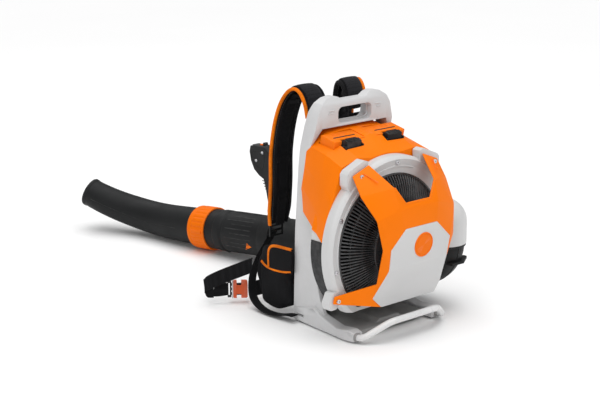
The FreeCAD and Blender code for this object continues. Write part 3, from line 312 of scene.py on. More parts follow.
def soften(node, name, body, material, width=1.0, segments=2, limit=30.0, angle=35.0):
    """Copy of a CAD node with its flat faces whole again and its edges rounded."""
    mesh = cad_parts[node].data.copy()
    ob = new_object(name, mesh)
    bm = bmesh.new()
    bm.from_mesh(mesh)
    bmesh.ops.remove_doubles(bm, verts=bm.verts, dist=2e-6)
    bmesh.ops.dissolve_limit(bm, angle_limit=math.radians(1.0), verts=bm.verts, edges=bm.edges)
    short = width * MM * 0.9
    picked = []
    for e in bm.edges:
        sharp = len(e.link_faces) == 2 and e.calc_face_angle(0.0) > math.radians(limit)
        if sharp and e.calc_length() > short:
            picked.append(e)
    if picked:
        bmesh.ops.bevel(bm, geom=picked, offset=width * MM, segments=segments, profile=0.5, affect="EDGES",
                        clamp_overlap=True)
    bm.to_mesh(mesh)
    bm.free()
    return finish_piece(ob, body, material, (node,), angle)


def paint(material, *nodes):
    """A CAD node whose shape is right stays, with a finished material."""
    for n in nodes:
        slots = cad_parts[n].material_slots
        for s in slots:
            s.material = material
        if not slots:
            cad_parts[n].data.materials.append(material)


def frame_at(direction, up=Z):
    """Two unit vectors across a direction; the second is as near up as can be."""
    side = direction.cross(Y if abs(direction.dot(up)) > 0.99 else up).normalized()
    return side, side.cross(direction).normalized()


def ring(centre, side, up, r, sides, flat=1.0):
    """Points round a centre; flat below 1 presses the ring towards up."""
    out = []
    for k in range(sides):
        a = 2 * math.pi * k / sides
        out.append(centre + side * (r * math.cos(a)) + up * (r * flat * math.sin(a)))
    return out


def skin(loops, closed_ends=True, wrap=False):
    """Faces through a list of loops of equal length."""
    verts = [v for loop in loops for v in loop]
    n = len(loops[0])
    faces = []
    pairs = len(loops) if wrap else len(loops) - 1
    for i in range(pairs):
        a, b = i * n, ((i + 1) % len(loops)) * n
        for k in range(n):
            faces.append((a + k, a + (k + 1) % n, b + (k + 1) % n, b + k))
    if closed_ends and not wrap:
        faces.append(tuple(range(n))[::-1])
        faces.append(tuple(range((len(loops) - 1) * n, len(loops) * n)))
    return verts, faces


def turned(name, profile, origin, axis, body, material, replaces=(), segments=96, closed=True,
           shape=None, **more):
    """Solid or shell of revolution from (radius, distance) points along an axis."""
    side, up = frame_at(axis)
    loops = []
    for r, d in profile:
        loop = []
        for k in range(segments):
            a = 2 * math.pi * k / segments
            rr = shape(r, d, a) if shape else r
            loop.append(origin + axis * d + side * (rr * math.cos(a)) + up * (rr * math.sin(a)))
        loops.append(loop)
    verts, faces = skin(loops, closed_ends=False, wrap=closed)
    return piece(name, verts, faces, body, material, replaces, **more)


def spline(points, count, closed=False):
    """Uniform Catmull-Rom curve through points, as count + 1 samples."""
    pts = [Vector(p) for p in points]
    n = len(pts)
    out = []
    spans = n if closed else n - 1
    for i in range(count + 1):
        t = spans * i / count
        k = min(int(t), spans - 1)
        u = t - k
        if closed:
            p = [pts[(k + j) % n] for j in (-1, 0, 1, 2)]
        else:
            p = [pts[max(0, k - 1)], pts[k], pts[k + 1], pts[min(n - 1, k + 2)]]
        out.append(0.5 * ((2 * p[1]) + (p[2] - p[0]) * u + (2 * p[0] - 5 * p[1] + 4 * p[2] - p[3]) * u * u
                          + (3 * p[1] - p[0] - 3 * p[2] + p[3]) * u ** 3))
    return out


def tube_on(name, points, radius, body, material, closed=False, sides=10, flat=1.0, up=Z):
    """Round or oval strip along points; flat below 1 presses it towards up."""
    loops = []
    n = len(points)
    for i, p in enumerate(points):
        if closed:
            d = (points[(i + 1) % n] - points[(i - 1) % n]).normalized()
        else:
            d = (points[min(i + 1, n - 1)] - points[max(i - 1, 0)]).normalized()
        side, top = frame_at(d, up)
        loops.append(ring(p, side, top, radius, sides, flat))
    verts, faces = skin(loops, wrap=closed)
    piece(name, verts, faces, body, material, angle=60)


def block(name, lo, hi, body, material, bevel=1.0, matrix=None):
    """Bevelled block between two corners, optionally placed by a matrix."""
    verts = [Vector((x, y, z)) for x in (lo[0], hi[0]) for y in (lo[1], hi[1]) for z in (lo[2], hi[2])]
    if matrix:
        verts = [matrix @ v for v in verts]
    faces = [(0, 1, 3, 2), (4, 6, 7, 5), (0, 4, 5, 1), (2, 3, 7, 6), (0, 2, 6, 4), (1, 5, 7, 3)]
    piece(name, verts, faces, body, material, bevel=bevel, angle=40)


def superellipse(count, half_w, half_h, power=4.0):
    out = []
    for k in range(count):
        a = 2 * math.pi * k / count
        c, s = math.cos(a), math.sin(a)
        out.append((half_w * math.copysign(abs(c) ** (2 / power), c),
                    half_h * math.copysign(abs(s) ** (2 / power), s)))
    return out


# ---- back plate and stand ---------------------------------------------------------
soften("backplate", "back_plate_shell", "frame", WHITE_PLATE, width=3.0, segments=3, limit=24.0)
# The deck is white plastic; its grey colour is painted shade from under the housing.
soften("base_deck", "deck", "frame", GREY_AND_DECK_SHADE, width=1.2)
soften("rubber_feet", "foot_pads", "frame", RUBBER, width=0.6)
paint(BAR_COAT, "stand_bar")


def plate_details():
    """Grip lining, moulded lines beside the carrying handle and drain slots in the feet."""
    lip = [Vector((x, 62.0, 444.0 + z)) for x, z in superellipse(64, 47.2, 16.2, 5.0)]
    tube_on("grip_lip", lip, 1.6, "frame", WHITE_PLATE, closed=True, up=Y)
    for s in (-1, 1):
        block("handle_rib_%d" % s, (s * 66 - 9, 45.6, 455), (s * 66 + 9, 48.6, 457.2), "frame", WHITE_PLATE,
              bevel=0.9)
        block("handle_rib_low_%d" % s, (s * 69 - 7, 46.0, 449), (s * 69 + 7, 48.8, 450.8), "frame",
              WHITE_PLATE, bevel=0.8)
        turned("bar_collar_%d" % s, [(7.2, 0), (9.6, 0), (9.6, 4), (8.4, 6), (7.2, 6)],
               Vector((s * 120, -86.5, 13.5)), -Y, "frame", GREY_AND_DECK_SHADE, segments=40, bevel=0.5)
        for k in range(3):
            y = -30 + k * 14
            block("heel_slot_%d_%d" % (s, k), (s * 117.6 - 0.8, y, 9), (s * 117.6 + 0.8, y + 10, 12),
                  "frame", WHITE_PLATE, bevel=0.5)


plate_details()


# ---- fan housing ---------------------------------------------------------------------
paint(WHITE, "fan_housing_rear", "fan_housing_front")
paint(STEEL, "housing_screws", "shield_screws", "fan_nut", "motor_shaft", "motor_bolts", "bearings",
      "motor_stator")
paint(STEEL, "handle_bolt", "handle_pins", "hose_clamp")
paint(ALU, "motor_rotor", "motor_mount")
paint(COPPER, "motor_windings")
paint(BLACK, "fan_wheel", "contact_blocks", "controller", "cruise_lever", "battery_bay")
paint(RUBBER, "rubber_mounts", "power_leads")
paint(GREY_AND_DECK_SHADE, "unit_bracket")

RING_FLOOR = 62.4


def ring_band(name, r_out, r_in, y0, y1, start, end, material, crown=1.0):
    """Raised band that follows the housing's rear face between two angles."""
    loops = []
    steps = 90
    for i in range(steps + 1):
        a = math.radians(start + (end - start) * i / steps)
        c, s = math.cos(a), math.sin(a)
        loop = []
        for r, y in ((r_out, y0), (r_out - crown, y1), (r_in + crown, y1), (r_in, y0)):
            loop.append(Vector((r * c, y, max(RING_FLOOR, AXIS_Z + r * s))))
        loops.append(loop)
    verts, faces = skin(loops)
    piece(name, verts, faces, "frame", material, angle=40)


ring_band("ring_band_outer", 178.5, 173.5, -62.0, -66.2, -32, 224, WHITE)
ring_band("ring_band_inner", 160.5, 157.0, -70.0, -71.6, 70, 224, WHITE, 0.6)


def painted_shadow_sleeve():
    """Painted shadow: a dark band behind the ring, down the open side of the drum, where the gap to the
    plate lies in shade.
    """
    loops = []
    for i in range(41):
        a = math.radians(172.5 + 57.0 * i / 40)
        loops.append([Vector((r * math.cos(a), y, AXIS_Z + r * math.sin(a)))
                      for r, y in ((169.6, -44.8), (171.2, -44.8), (171.2, -3.6), (169.6, -3.0))])
    verts, faces = skin(loops)
    piece("painted_shadow_sleeve", verts, faces, "frame", BLACK_MATT, angle=40)


painted_shadow_sleeve()


def mouth_lip():
    """Rolled black edge where the guard sits in the housing's mouth."""
    loops = []
    steps = 200
    for i in range(steps):
        a = 2 * math.pi * i / steps
        c, s = math.cos(a), math.sin(a)
        loop = []
        for r, y in ((149.6, -64), (149.6, -72.5), (148.4, -73.4), (146.0, -73.2), (144.6, -71.5),
                     (144.4, -64)):
            loop.append(Vector((MOUTH.x + r * c, y, max(70.6 + (149.6 - r) * 0.6, MOUTH.z + r * s))))
        loops.append(loop)
    verts, faces = skin(loops, wrap=True)
    piece("guard_rim", verts, faces, "frame", GUARD, angle=50)


def dome(r):
    return -67.0 - 40.0 * math.cos(math.radians(90) * min(1.0, r / 149.0)) ** 0.62


def intake_guard():
    """Radial bars that follow a dome, a solid cap in the middle and two hoops."""
    verts, faces = [], []
    bars = 120
    radii = [70, 82, 94, 106, 118, 128, 136, 142, GUARD_R]
    for i in range(bars):
        a = 2 * math.pi * i / bars
        c, s = math.cos(a), math.sin(a)
        low = (MOUTH.z - 72.0) / max(1e-6, -s) if s < 0 else 1e9
        reach = [r for r in radii if r < low - 1.0]
        if len(reach) < 2:
            continue
        if reach[-1] < 146:
            reach.append(min(low - 0.5, GUARD_R))
        base = len(verts)
        for r in reach:
            y = dome(r)
            centre = Vector((MOUTH.x + r * c, y, MOUTH.z + r * s))
            half = 1.15 + 0.55 * (r - 70) / 76
            across = Vector((-s, 0, c))
            for off, dy in ((-half, 4.2), (-half * 0.95, 0.9), (-half * 0.45, 0.0), (half * 0.45, 0.0),
                            (half * 0.95, 0.9), (half, 4.2)):
                verts.append(centre + across * off + Y * dy)
        for j in range(len(reach) - 1):
            for k in range(5):
                p = base + j * 6 + k
                faces.append((p, p + 1, p + 7, p + 6))
            p = base + j * 6
            faces.append((p + 5, p, p + 6, p + 11))
        faces.append(tuple(base + k for k in range(6)))
        faces.append(tuple(base + (len(reach) - 1) * 6 + k for k in reversed(range(6))))
    piece("intake_guard", verts, faces, "frame", GUARD, replaces=("intake_grille",), angle=50)
    for r in (100.0, 126.0):
        loops = []
        for i in range(160):
            a = 2 * math.pi * i / 160
            c, s = math.cos(a), math.sin(a)
            loops.append([Vector((MOUTH.x + (r + u) * c, dome(r) + 3.4 + w,
                                  max(GUARD_FLOOR, MOUTH.z + (r + u) * s)))
                          for u, w in ((-1.2, 0), (1.2, 0), (1.2, 2.4), (-1.2, 2.4))])
        v, f = skin(loops, wrap=True)
        piece("guard_hoop_%d" % r, v, f, "frame", GUARD, angle=50)
    profile = [(0.01, dome(0) - 1.5), (26, dome(26) - 1.4), (48, dome(48) - 1.2), (66, dome(66) - 1.0),
               (72, dome(72) - 0.6), (75, dome(75) + 0.8), (75.5, dome(75) + 5), (72, dome(75) + 6),
               (0.01, dome(0) + 4)]
    turned("guard_cap", profile, Vector((MOUTH.x, 0, MOUTH.z)), Y, "frame", GUARD, closed=False,
           segments=120, angle=50)


mouth_lip()
intake_guard()


# ---- shield ------------------------------------------------------------------------------
SHIELD_LEFT = {
    "arm_out": (-123, -74, 349), "arm_in": (-79, -75, 366),
    "edge_1": (-124, -100, 311), "mouth_1": (-58, -129, 324),
    "edge_2": (-112, -135, 265), "brow": (-54, -143, 281), "mouth_2": (-36, -139, 290),
    "edge_3": (-103, -143, 205), "panel_1": (-45, -150, 241), "panel_2": (-86, -149, 203),
    "edge_4": (-97, -119, 128), "panel_3": (-84, -142, 158),
    "panel_4": (-99, -111, 96), "panel_5": (-78, -115, 75),
    "low_top": (-170, -74, 106), "low_out": (-174, -74, 92),
}
SHORT_ARM = {"low_top": (130, -74, 106), "low_out": (132, -74, 91)}
SHIELD_FACES = [
    ("arm_out", "arm_in", "mouth_1", "edge_1"),
    ("edge_1", "mouth_1", "brow", "edge_2"),
    ("mouth_1", "mouth_2", "brow"), ("edge_2", "brow", "panel_1", "panel_2"),
    ("edge_2", "panel_2", "edge_3"),
    ("edge_3", "panel_2", "panel_3"), ("edge_3", "panel_3", "edge_4"),
    ("edge_4", "panel_3", "panel_4"), ("edge_4", "panel_4", "low_top"),
    ("low_top", "panel_4", "panel_5", "low_out"),
]
SHIELD_MIDDLE = [("mouth_2", "mouth_2_r", "brow_r", "brow"), ("brow", "brow_r", "panel_1_r", "panel_1")]


def shield_point(name):
    if name.endswith("_r"):
        x, y, z = SHIELD_LEFT[name[:-2]]
        return Vector(SHORT_ARM.get(name[:-2], (-x, y, z)))
    return Vector(SHIELD_LEFT[name])


def sheet_piece(name, faces, depth, bevel, material, replaces, edge_limit, proud=0.0):
    """Facetted moulding with soft creases: a front skin, a wall behind it, rounded edges."""
    names = sorted({n for f in faces for n in f})
    number = {n: i for i, n in enumerate(names)}
    mesh = bpy.data.meshes.new(name)
    mesh.from_pydata([tuple((shield_point(n) - Y * proud) * MM) for n in names], [],
                     [tuple(number[n] for n in f) for f in faces])
    bm = bmesh.new()
    bm.from_mesh(mesh)
    bmesh.ops.recalc_face_normals(bm, faces=bm.faces)
    front = sum((f.normal.y * f.calc_area() for f in bm.faces))
    if front > 0:
        bmesh.ops.reverse_faces(bm, faces=bm.faces)
    bm.to_mesh(mesh)
    bm.free()
    ob = new_object(name, mesh)
    m = ob.modifiers.new("wall", "SOLIDIFY")
    m.thickness, m.offset = depth * MM, -1.0
    add_bevel(ob, bevel, 4, edge_limit)
    apply_modifiers(ob)
    finish_piece(ob, "frame", material, replaces, 40)


def shield():
    faces = list(SHIELD_FACES) + [tuple(n + "_r" for n in reversed(f)) for f in SHIELD_FACES] + SHIELD_MIDDLE
    sheet_piece("shield_shell", faces, 4.0, 1.8, ORANGE, ("shield",), edge_limit=6.0)
    panel = [("panel_1", "panel_1_r", "panel_2_r", "panel_3_r", "panel_3", "panel_2"),
             ("panel_3", "panel_3_r", "panel_4_r", "panel_5_r", "panel_5", "panel_4")]
    sheet_piece("front_panel", panel, 3.4, 1.6, WHITE, ("shield_panel",), proud=0.6, edge_limit=4.0)
    # Bevelled lip under the upper window.
    lip = [shield_point(n) for n in ("mouth_1", "mouth_2", "mouth_2_r", "mouth_1_r")]
    line = []
    for a, b in zip(lip, lip[1:]):
        for i in range(8):
            line.append(a.lerp(b, i / 8))
    line.append(lip[-1])
    tube_on("window_lip", [p + Vector((0, 1.6, -0.6)) for p in line], 2.4, "frame", ORANGE, sides=12, up=Y)
    for s in (-1, 1):
        groove = [Vector((s * 100, -81.6, 351.5)), Vector((s * 93, -95.0, 344)),
                  Vector((s * 86, -109.5, 336.5))]
        tube_on("arm_groove_%d" % s, groove, 1.0, "frame", ORANGE_SOFT, sides=8, up=Y)


def badge():
    """Plain raised disc with a stepped rim."""
    out = Vector((0, -83.0, -8.0)).normalized()
    centre = Vector((8.0, -146.6, 199.0))
    turned("badge", [(0.01, 3.0), (18, 3.0), (21.5, 2.8), (22.2, 2.2), (23.6, 2.2), (24.4, 3.2),
                     (25.6, 3.0), (26.2, 2.0), (26.2, -0.6), (0.01, -0.6)],
           centre, out, "frame", ORANGE_SOFT, replaces=("shield_badge",), closed=False,
           segments=96, angle=25)


shield()
badge()


# ---- top cover and batteries ----------------------------------------------------------------
soften("top_cover", "cover_shell", "frame", ORANGE, width=2.4, segments=3, limit=9.0)
for side, name in ((-1, "left"), (1, "right")):
    soften("battery_" + name, "battery_case_" + name, "battery_pack_" + name, BLACK, width=1.6)
    soften("battery_latch_" + name, "latch_lever_" + name, "latch_" + name, BLACK, width=1.2)
    lean = Matrix.Translation(Vector((side * SLOT_X, *PACK_TOP))) @ Matrix.Rotation(PACK_LEAN, 4, "X")
    outline = [(-42.6, 20.0), (42.6, 20.0), (42.6, -22.6), (21.5, -22.6), (21.5, -14.0), (-21.5, -14.0),
               (-21.5, -22.6), (-42.6, -22.6)]
    verts = [lean @ Vector((x, y, z)) for z in (6.2, -14.0) for x, y in outline]
    faces = [tuple(range(8)), tuple(range(15, 7, -1))]
    faces += [(k, k + 8, (k + 1) % 8 + 8, (k + 1) % 8) for k in range(8)]
    piece("battery_top_" + name, verts, faces, "battery_pack_" + name, ORANGE, bevel=1.6)
    block("battery_plate_" + name, (-20, 6, 5.8), (20, 14, 6.7), "battery_pack_" + name, ORANGE_SOFT,
          bevel=0.5, matrix=lean)
    block("battery_grip_" + name, (-30, -6, 5.4), (30, -2.5, 7.0), "battery_pack_" + name, BLACK_MATT,
          bevel=0.8, matrix=lean)
    for k in range(4):
        block("latch_rib_%s_%d" % (name, k),
              (side * SLOT_X - 15, -11.5 + 3.4 * k, 402.0 + 1.0 * k),
              (side * SLOT_X + 15, -10.1 + 3.4 * k, 404.2 + 0.8 * k),
              "latch_" + name, BLACK_MATT, bevel=0.5)


def cover_tip(side):
    """Lower tip of the cover, carried on over the drum behind it."""
    loops = []
    for i in range(9):
        y = -20.0 + 19.2 * i / 8
        low = math.asin((235.0 + (y - 6.0) * 0.365 - AXIS_Z) / 171.0)
        arc = [low + math.radians(20.0) * k / 10 for k in range(11)]
        loops.append([Vector((side * r * math.cos(a), y, AXIS_Z + r * math.sin(a)))
                      for r, turn in ((171.6, arc), (169.0, arc[::-1])) for a in turn])
    verts, faces = skin(loops)
    piece("cover_tip_%d" % side, verts, faces, "frame", ORANGE, angle=40)


cover_tip(-1)
cover_tip(1)


# ---- outlet, hose and tube ------------------------------------------------------------------------
paint(BLACK, "outlet_elbow")


def elbow_details():
    turned("duct_ring", [(47.3, -0.4), (49.6, -0.4), (50.2, -1.4), (50.2, -4.6), (49.4, -5.6), (47.3, -5.6)],
           DUCT, Z, "elbow_turn", BLACK, segments=96, angle=40)
    turned("spigot_ring", [(46.5, -1.6), (49.2, -1.6), (49.8, -0.8), (49.8, 2.4), (49.0, 3.2), (46.5, 3.2)],
           ELBOW_END, Y, "elbow_turn", BLACK, segments=96, angle=40)
    # Raised seam round the outside of the bend.
    seam = []
    for i in range(33):
        a = math.radians(90) * i / 32
        seam.append(Vector((186.0, 17.0 - (BEND_R + BEND_SEAM_R) * math.cos(a),
                            148.0 - (BEND_R + BEND_SEAM_R) * math.sin(a))))
    tube_on("bend_seam", seam, 1.1, "elbow_turn", BLACK, sides=8, up=X)


def bellows():
    """Pleated hose where the tube swings up, made straight along the tube's line."""
    profile = []
    start, end, pleats = 22.0, 70.0, 6
    steps = pleats * 10
    for i in range(steps + 1):
        d = start + (end - start) * i / steps
        wave = 0.5 + 0.5 * math.cos(2 * math.pi * pleats * i / steps)
        profile.append((45.2 + 5.0 * wave ** 0.8, d))
    inner = [(43.6, end), (43.6, start)]
    cuff = [(43.6, 3), (49.6, 3), (50.6, 4.4), (50.6, 20), (49.2, 21.6)]
    ob = turned("hose_bellows", cuff + profile + inner, ELBOW_END, TUBE_DIR, None, RUBBER,
                replaces=("hose",), segments=96, angle=50)
    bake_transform(ob)


def collar():
    profile = [(47.95, 0.3), (50.6, 0.3), (51.6, 1.2), (51.6, 7.5), (50.4, 8.5)]
    for d in (12, 20, 28):
        profile += [(50.4, d), (51.9, d + 0.8), (51.9, d + 4.2), (50.4, d + 5.0)]
    profile += [(50.4, 38.4), (49.6, 39.6), (43.2, 39.6), (43.2, 21.0), (46.0, 13.0)]
    turned("swivel_ring", profile, on_tube(PIVOT), TUBE_DIR, "collar", BLACK,
           replaces=("swivel_collar",), segments=112, angle=40)
    boss = [(0.01, 53.2), (3.0, 53.2), (3.6, 52.6), (8.0, 52.6), (8.6, 53.2), (10.2, 53.2), (11.0, 52.4),
            (11.0, 48.8), (0.01, 48.8)]
    across = frame_at(TUBE_DIR)[0]
    for s in (-1, 1):
        turned("swivel_boss_%d" % s, boss, on_tube(PIVOT), across * s, "collar", BLACK, closed=False,
               segments=48)


def around(distance, degrees, radius):
    side, up = frame_at(TUBE_DIR)
    a = math.radians(degrees)
    return ELBOW_END + TUBE_DIR * distance + (side * math.cos(a) + up * math.sin(a)) * radius


def lengthwise(name, degrees, end, width, rise):
    """Low rib along the tube's thicker sleeve."""
    side, up = frame_at(TUBE_DIR)
    a = math.radians(degrees)
    out = side * math.cos(a) + up * math.sin(a)
    across = TUBE_DIR.cross(out)
    loops = []
    for d, k in ((RIB_START, 0.25), (RIB_START + 4, 1.0), (end - 4, 1.0), (end, 0.25)):
        p = ELBOW_END + TUBE_DIR * d + out * (SLEEVE_R - 0.6)
        loops.append([p - across * width / 2, p - across * width * 0.35 + out * (rise * k + 0.6),
                      p + across * width * 0.35 + out * (rise * k + 0.6), p + across * width / 2])
    verts, faces = skin(loops)
    piece(name, verts, faces, "tube", BLACK, angle=50)


def blower_tube():
    profile = [(42.9, 89.5), (42.9, 102.6), (48.2, 102.6), (49.0, 103.6), (49.0, 371), (49.4, 373),
               (50.1, 375), (SLEEVE_R, 378), (SLEEVE_R, 553), (49.6, 556), (48.6, 557.5), (48.3, 558.5),
               (48.3, 561.5), (48.9, 563), (50.3, 565), (50.55, 567), (50.55, 583), (49.9, 585.5),
               (49.0, 587), (49.0, 629), (48.4, 629.9), (46.7, 629.9), (46.5, 628.6), (46.5, 108),
               (40.1, 106), (40.1, 89.5)]
    turned("tube_shell", profile, ELBOW_END, TUBE_DIR, "tube", BLACK, replaces=("blower_tube",),
           segments=128, angle=30)
    for k, degrees in enumerate(range(117, 211, 13)):
        lengthwise("tube_rib_%d" % k, degrees, 546 if k % 2 else 528, 2.6, 0.7)
    for k, degrees in enumerate((-60, -20, 20, 60)):
        lengthwise("tube_rib_far_%d" % k, degrees, 540, 2.6, 0.7)
    lengthwise("tube_spine", 90, 545, 8.0, 1.6)
    # Plain orange mark where the clamp lines up.
    a, b, c = around(474, 190, 50.5), around(462, 201, 50.5), around(484, 213, 50.5)
    out = (around(473, 201, 60) - around(473, 201, 50)).normalized()
    verts = [p + out * h for h in (-0.8, 0.7) for p in (a, b, c)]
    piece("tube_mark", verts, [(0, 1, 2), (5, 4, 3), (0, 3, 4, 1), (1, 4, 5, 2), (2, 5, 3, 0)], "tube",
          ORANGE_SOFT, bevel=0.3)
    low = on_tube(575, -52.0)
    block("tube_hook", low - Vector((4, 8, 1.9)), low + Vector((4, 8, 3.4)), "tube", BLACK, bevel=1.4)


def coupling_ring():
    def shape(r, d, a):
        if r < 51.4 or not 5.0 < d < 42.0:
            return r
        flute = math.cos(26 * a)
        return r - 1.3 * max(0.0, flute) ** 2
    profile = [(49.36, 0.5), (52.0, 0.5), (53.0, 1.4), (53.0, 4.2), (52.2, 5.4), (52.9, 7.0),
               (53.15, 9.0), (53.15, 24.0), (53.15, 38.0), (52.7, 40.5), (51.9, 42.4), (52.4, 44.0),
               (52.6, 45.0), (52.6, 51.0), (51.6, 53.4), (48.6, 53.9), (45.6, 53.9), (45.6, 19.0),
               (49.36, 19.0)]
    turned("ring_grip", profile, on_tube(RING_START), TUBE_DIR, "ring", ORANGE_SOFT,
           replaces=("coupling_ring",), segments=260, shape=shape, angle=35)
    for degrees in (178, -2):
        p = around(RING_START + 22, degrees, 53.0)
        out = (around(0, degrees, 2) - around(0, degrees, 1)).normalized()
        across = TUBE_DIR.cross(out)
        m = Matrix((TUBE_DIR, across, out)).transposed().to_4x4()
        m.translation = p
        block("ring_lug_%d" % degrees, (-15, -4.2, -1.2), (15, 4.2, 1.5), "ring", ORANGE_SOFT,
              bevel=1.2, matrix=m)


def nozzle_line(count):
    """Axis of the curved part, from the end of the straight root to the rim."""
    p0, t0 = on_tube(RING_END + 34), TUBE_DIR * 170
    p1 = Vector((46, 862, 52.5))
    p2, t2 = NOZZLE_TIP - NOZZLE_OUT * 12, NOZZLE_OUT * 170
    t1 = (p2 - p0) * 0.5 * 1.02
    out = []
    for a, ta, b, tb in ((p0, t0, p1, t1), (p1, t1, p2, t2)):
        for i in range(count):
            u = i / count
            h = (2 * u ** 3 - 3 * u ** 2 + 1, u ** 3 - 2 * u ** 2 + u, -2 * u ** 3 + 3 * u ** 2,
                 u ** 3 - u ** 2)
            out.append(a * h[0] + ta * h[1] + b * h[2] + tb * h[3])
    out.append(p2)
    return out


def nozzle():
    root = [on_tube(d) for d in (533, 560, 600, 640, 668, 676, 684)]
    curve = nozzle_line(14)
    line = root + curve + [NOZZLE_TIP - NOZZLE_OUT * 1.2, NOZZLE_TIP]
    last = len(curve) - 1
    sides = 96
    outside, inside = [], []
    for i, p in enumerate(line):
        k = i - len(root)
        if k < 0:
            r, d = NOZZLE_R, TUBE_DIR
        elif k <= last:
            r = NOZZLE_R - NOZZLE_TAPER * k / last
            d = (curve[min(k + 1, last)] - curve[max(k - 1, 0)]).normalized()
        else:
            r, d = NOZZLE_R - NOZZLE_TAPER, NOZZLE_OUT
        side, up = frame_at(d)
        edge = -0.8 if i == len(line) - 1 else 0.0
        outside.append(ring(p, side, up, r + edge, sides))
        inside.append(ring(p, side, up, r - NOZZLE_WALL, sides))
    verts, faces = skin(outside + inside[::-1], wrap=True)
    piece("nozzle_shell", verts, faces, "nozzle_slide", BLACK, replaces=("nozzle",), angle=40)
    # Mould line along both sides and a rolled rim.
    for s in (-1, 1):
        seam = []
        for i, p in enumerate(curve[1:-1]):
            side = frame_at((curve[i + 2] - curve[i]).normalized())[0]
            r = NOZZLE_R - NOZZLE_TAPER * (i + 1) / last
            seam.append(p + side * s * (r + 0.1))
        tube_on("nozzle_seam_%d" % s, seam, 0.55, "nozzle_slide", BLACK, sides=6)
    rim = [(36.0, -9.0), (37.0, -8.0), (37.2, -5.0), (37.2, -1.6), (36.4, -0.4), (34.6, -0.2), (34.2, -1.0),
           (35.0, -9.0)]
    turned("nozzle_rim", rim, NOZZLE_TIP, NOZZLE_OUT, "nozzle_slide", BLACK, segments=96, angle=50)


elbow_details()
bellows()
collar()
blower_tube()
coupling_ring()
nozzle()


# ---- control handle --------------------------------------------------------------------------------
def control_handle():
    c = on_tube(HANDLE_AT)
    screw = [(0.01, 1.0), (1.2, 1.0), (1.6, 0.3), (2.2, 0.3), (3.4, 1.1), (3.9, 0.6), (3.9, -0.6),
             (0.01, -0.6)]
    soften("handle_clamp", "clamp_band", "clamp", BLACK, width=1.4)
    paint(BLACK_MATT, "control_handle")
    soften("trigger", "trigger_lever", "throttle", ORANGE_SOFT, width=1.2)
    for s in (-1, 1):
        x = c.x + s * 16.0
        # Rows of rubber ridges on each side.
        for k in range(7):
            y, z = c.y + 2 + k * 3.6, c.z + 100 + k * 6.2
            block("grip_ridge_%d_%d" % (s, k), (x - 0.7, y - 6.5, z - 1.1), (x + 0.7, y + 6.5, z + 1.1),
                  "grip", RUBBER, bevel=0.6)
        head = ((24, 196), (30, 166), (52, 170), (66, 184), (68, 200), (48, 207))
        panel = [Vector((x, c.y + y, c.z + z)) for y, z in head]
        line = spline(panel, 48, closed=True)[:-1]
        tube_on("head_line_%d" % s, line, 0.7, "grip", BLACK, closed=True, sides=8, up=X)
        for y, z in ((2, 92), (52, 182), (30, 204)):
            at = Vector((c.x + s * 15.9, c.y + y, c.z + z))
            turned("grip_screw_%d_%d" % (s, z), screw, at, X * s, "grip", STEEL, closed=False,
                   segments=28)
    # Dark display and a round button on top of the head.
    block("head_display", (c.x - 10.5, c.y + 54, c.z + 215.0), (c.x + 10.5, c.y + 72, c.z + 217.6), "grip",
          GUARD, bevel=1.0)
    turned("head_button", [(0.01, 3.2), (3.6, 3.0), (4.6, 2.0), (4.8, 0.0), (0.01, 0.0)],
           Vector((c.x, c.y + 49.0, c.z + 217.4)), Z, "grip", ORANGE_SOFT, closed=False, segments=40)


control_handle()


# ---- harness -------------------------------------------------------------------------------------------
PAD_ROUTE = [(56, 101, 435), (57, 107, 462), (60, 118, 485), (64, 134, 494), (70, 150, 484),
             (78, 164, 456), (84, 175, 410), (88, 181, 350), (88, 182, 290), (88, 186, 235),
             (88, 192, 192)]


def voxels(ob, size, smooth=4):
    m = ob.modifiers.new("remesh", "REMESH")
    m.mode, m.voxel_size = "VOXEL", size * MM
    m = ob.modifiers.new("relax", "SMOOTH")
    m.factor, m.iterations = 0.5, smooth
    apply_modifiers(ob)


def puff(ob, cap, pressure=4.0):
    """Short cloth simulation that fills a pad out, then one subdivision."""
    rest = [v.co.copy() for v in ob.data.vertices]
    m = ob.modifiers.new("fill", "CLOTH")
    m.settings.use_pressure = True
    m.settings.uniform_pressure_force = pressure
    m.settings.effector_weights.gravity = 0.0
    m.settings.quality = 4
    m.settings.tension_stiffness = 30
    m.settings.bending_stiffness = 2.0
    m.point_cache.frame_start, m.point_cache.frame_end = 1, 20
    for f in range(1, 21):
        scene.frame_set(f)
    graph = bpy.context.evaluated_depsgraph_get()
    mesh = bpy.data.meshes.new_from_object(ob.evaluated_get(graph))
    ob.modifiers.clear()
    ob.data = mesh
    for v, r in zip(mesh.vertices, rest):
        move = v.co - r
        if move.length > cap * MM:
            v.co = r + move.normalized() * cap * MM
    scene.frame_set(1)
    m = ob.modifiers.new("fine", "SUBSURF")
    m.levels = m.render_levels = 1
    apply_modifiers(ob)


def crease(ob, depth, width, distance):
    """Sewn channels: pulls the surface in where distance(point in mm) is near zero."""
    mesh = ob.data
    normals = [v.normal.copy() for v in mesh.vertices]
    for v, n in zip(mesh.vertices, normals):
        d = distance(v.co / MM)
        v.co -= n * (depth * MM * math.exp(-(d / width) ** 2))
    mesh.update()


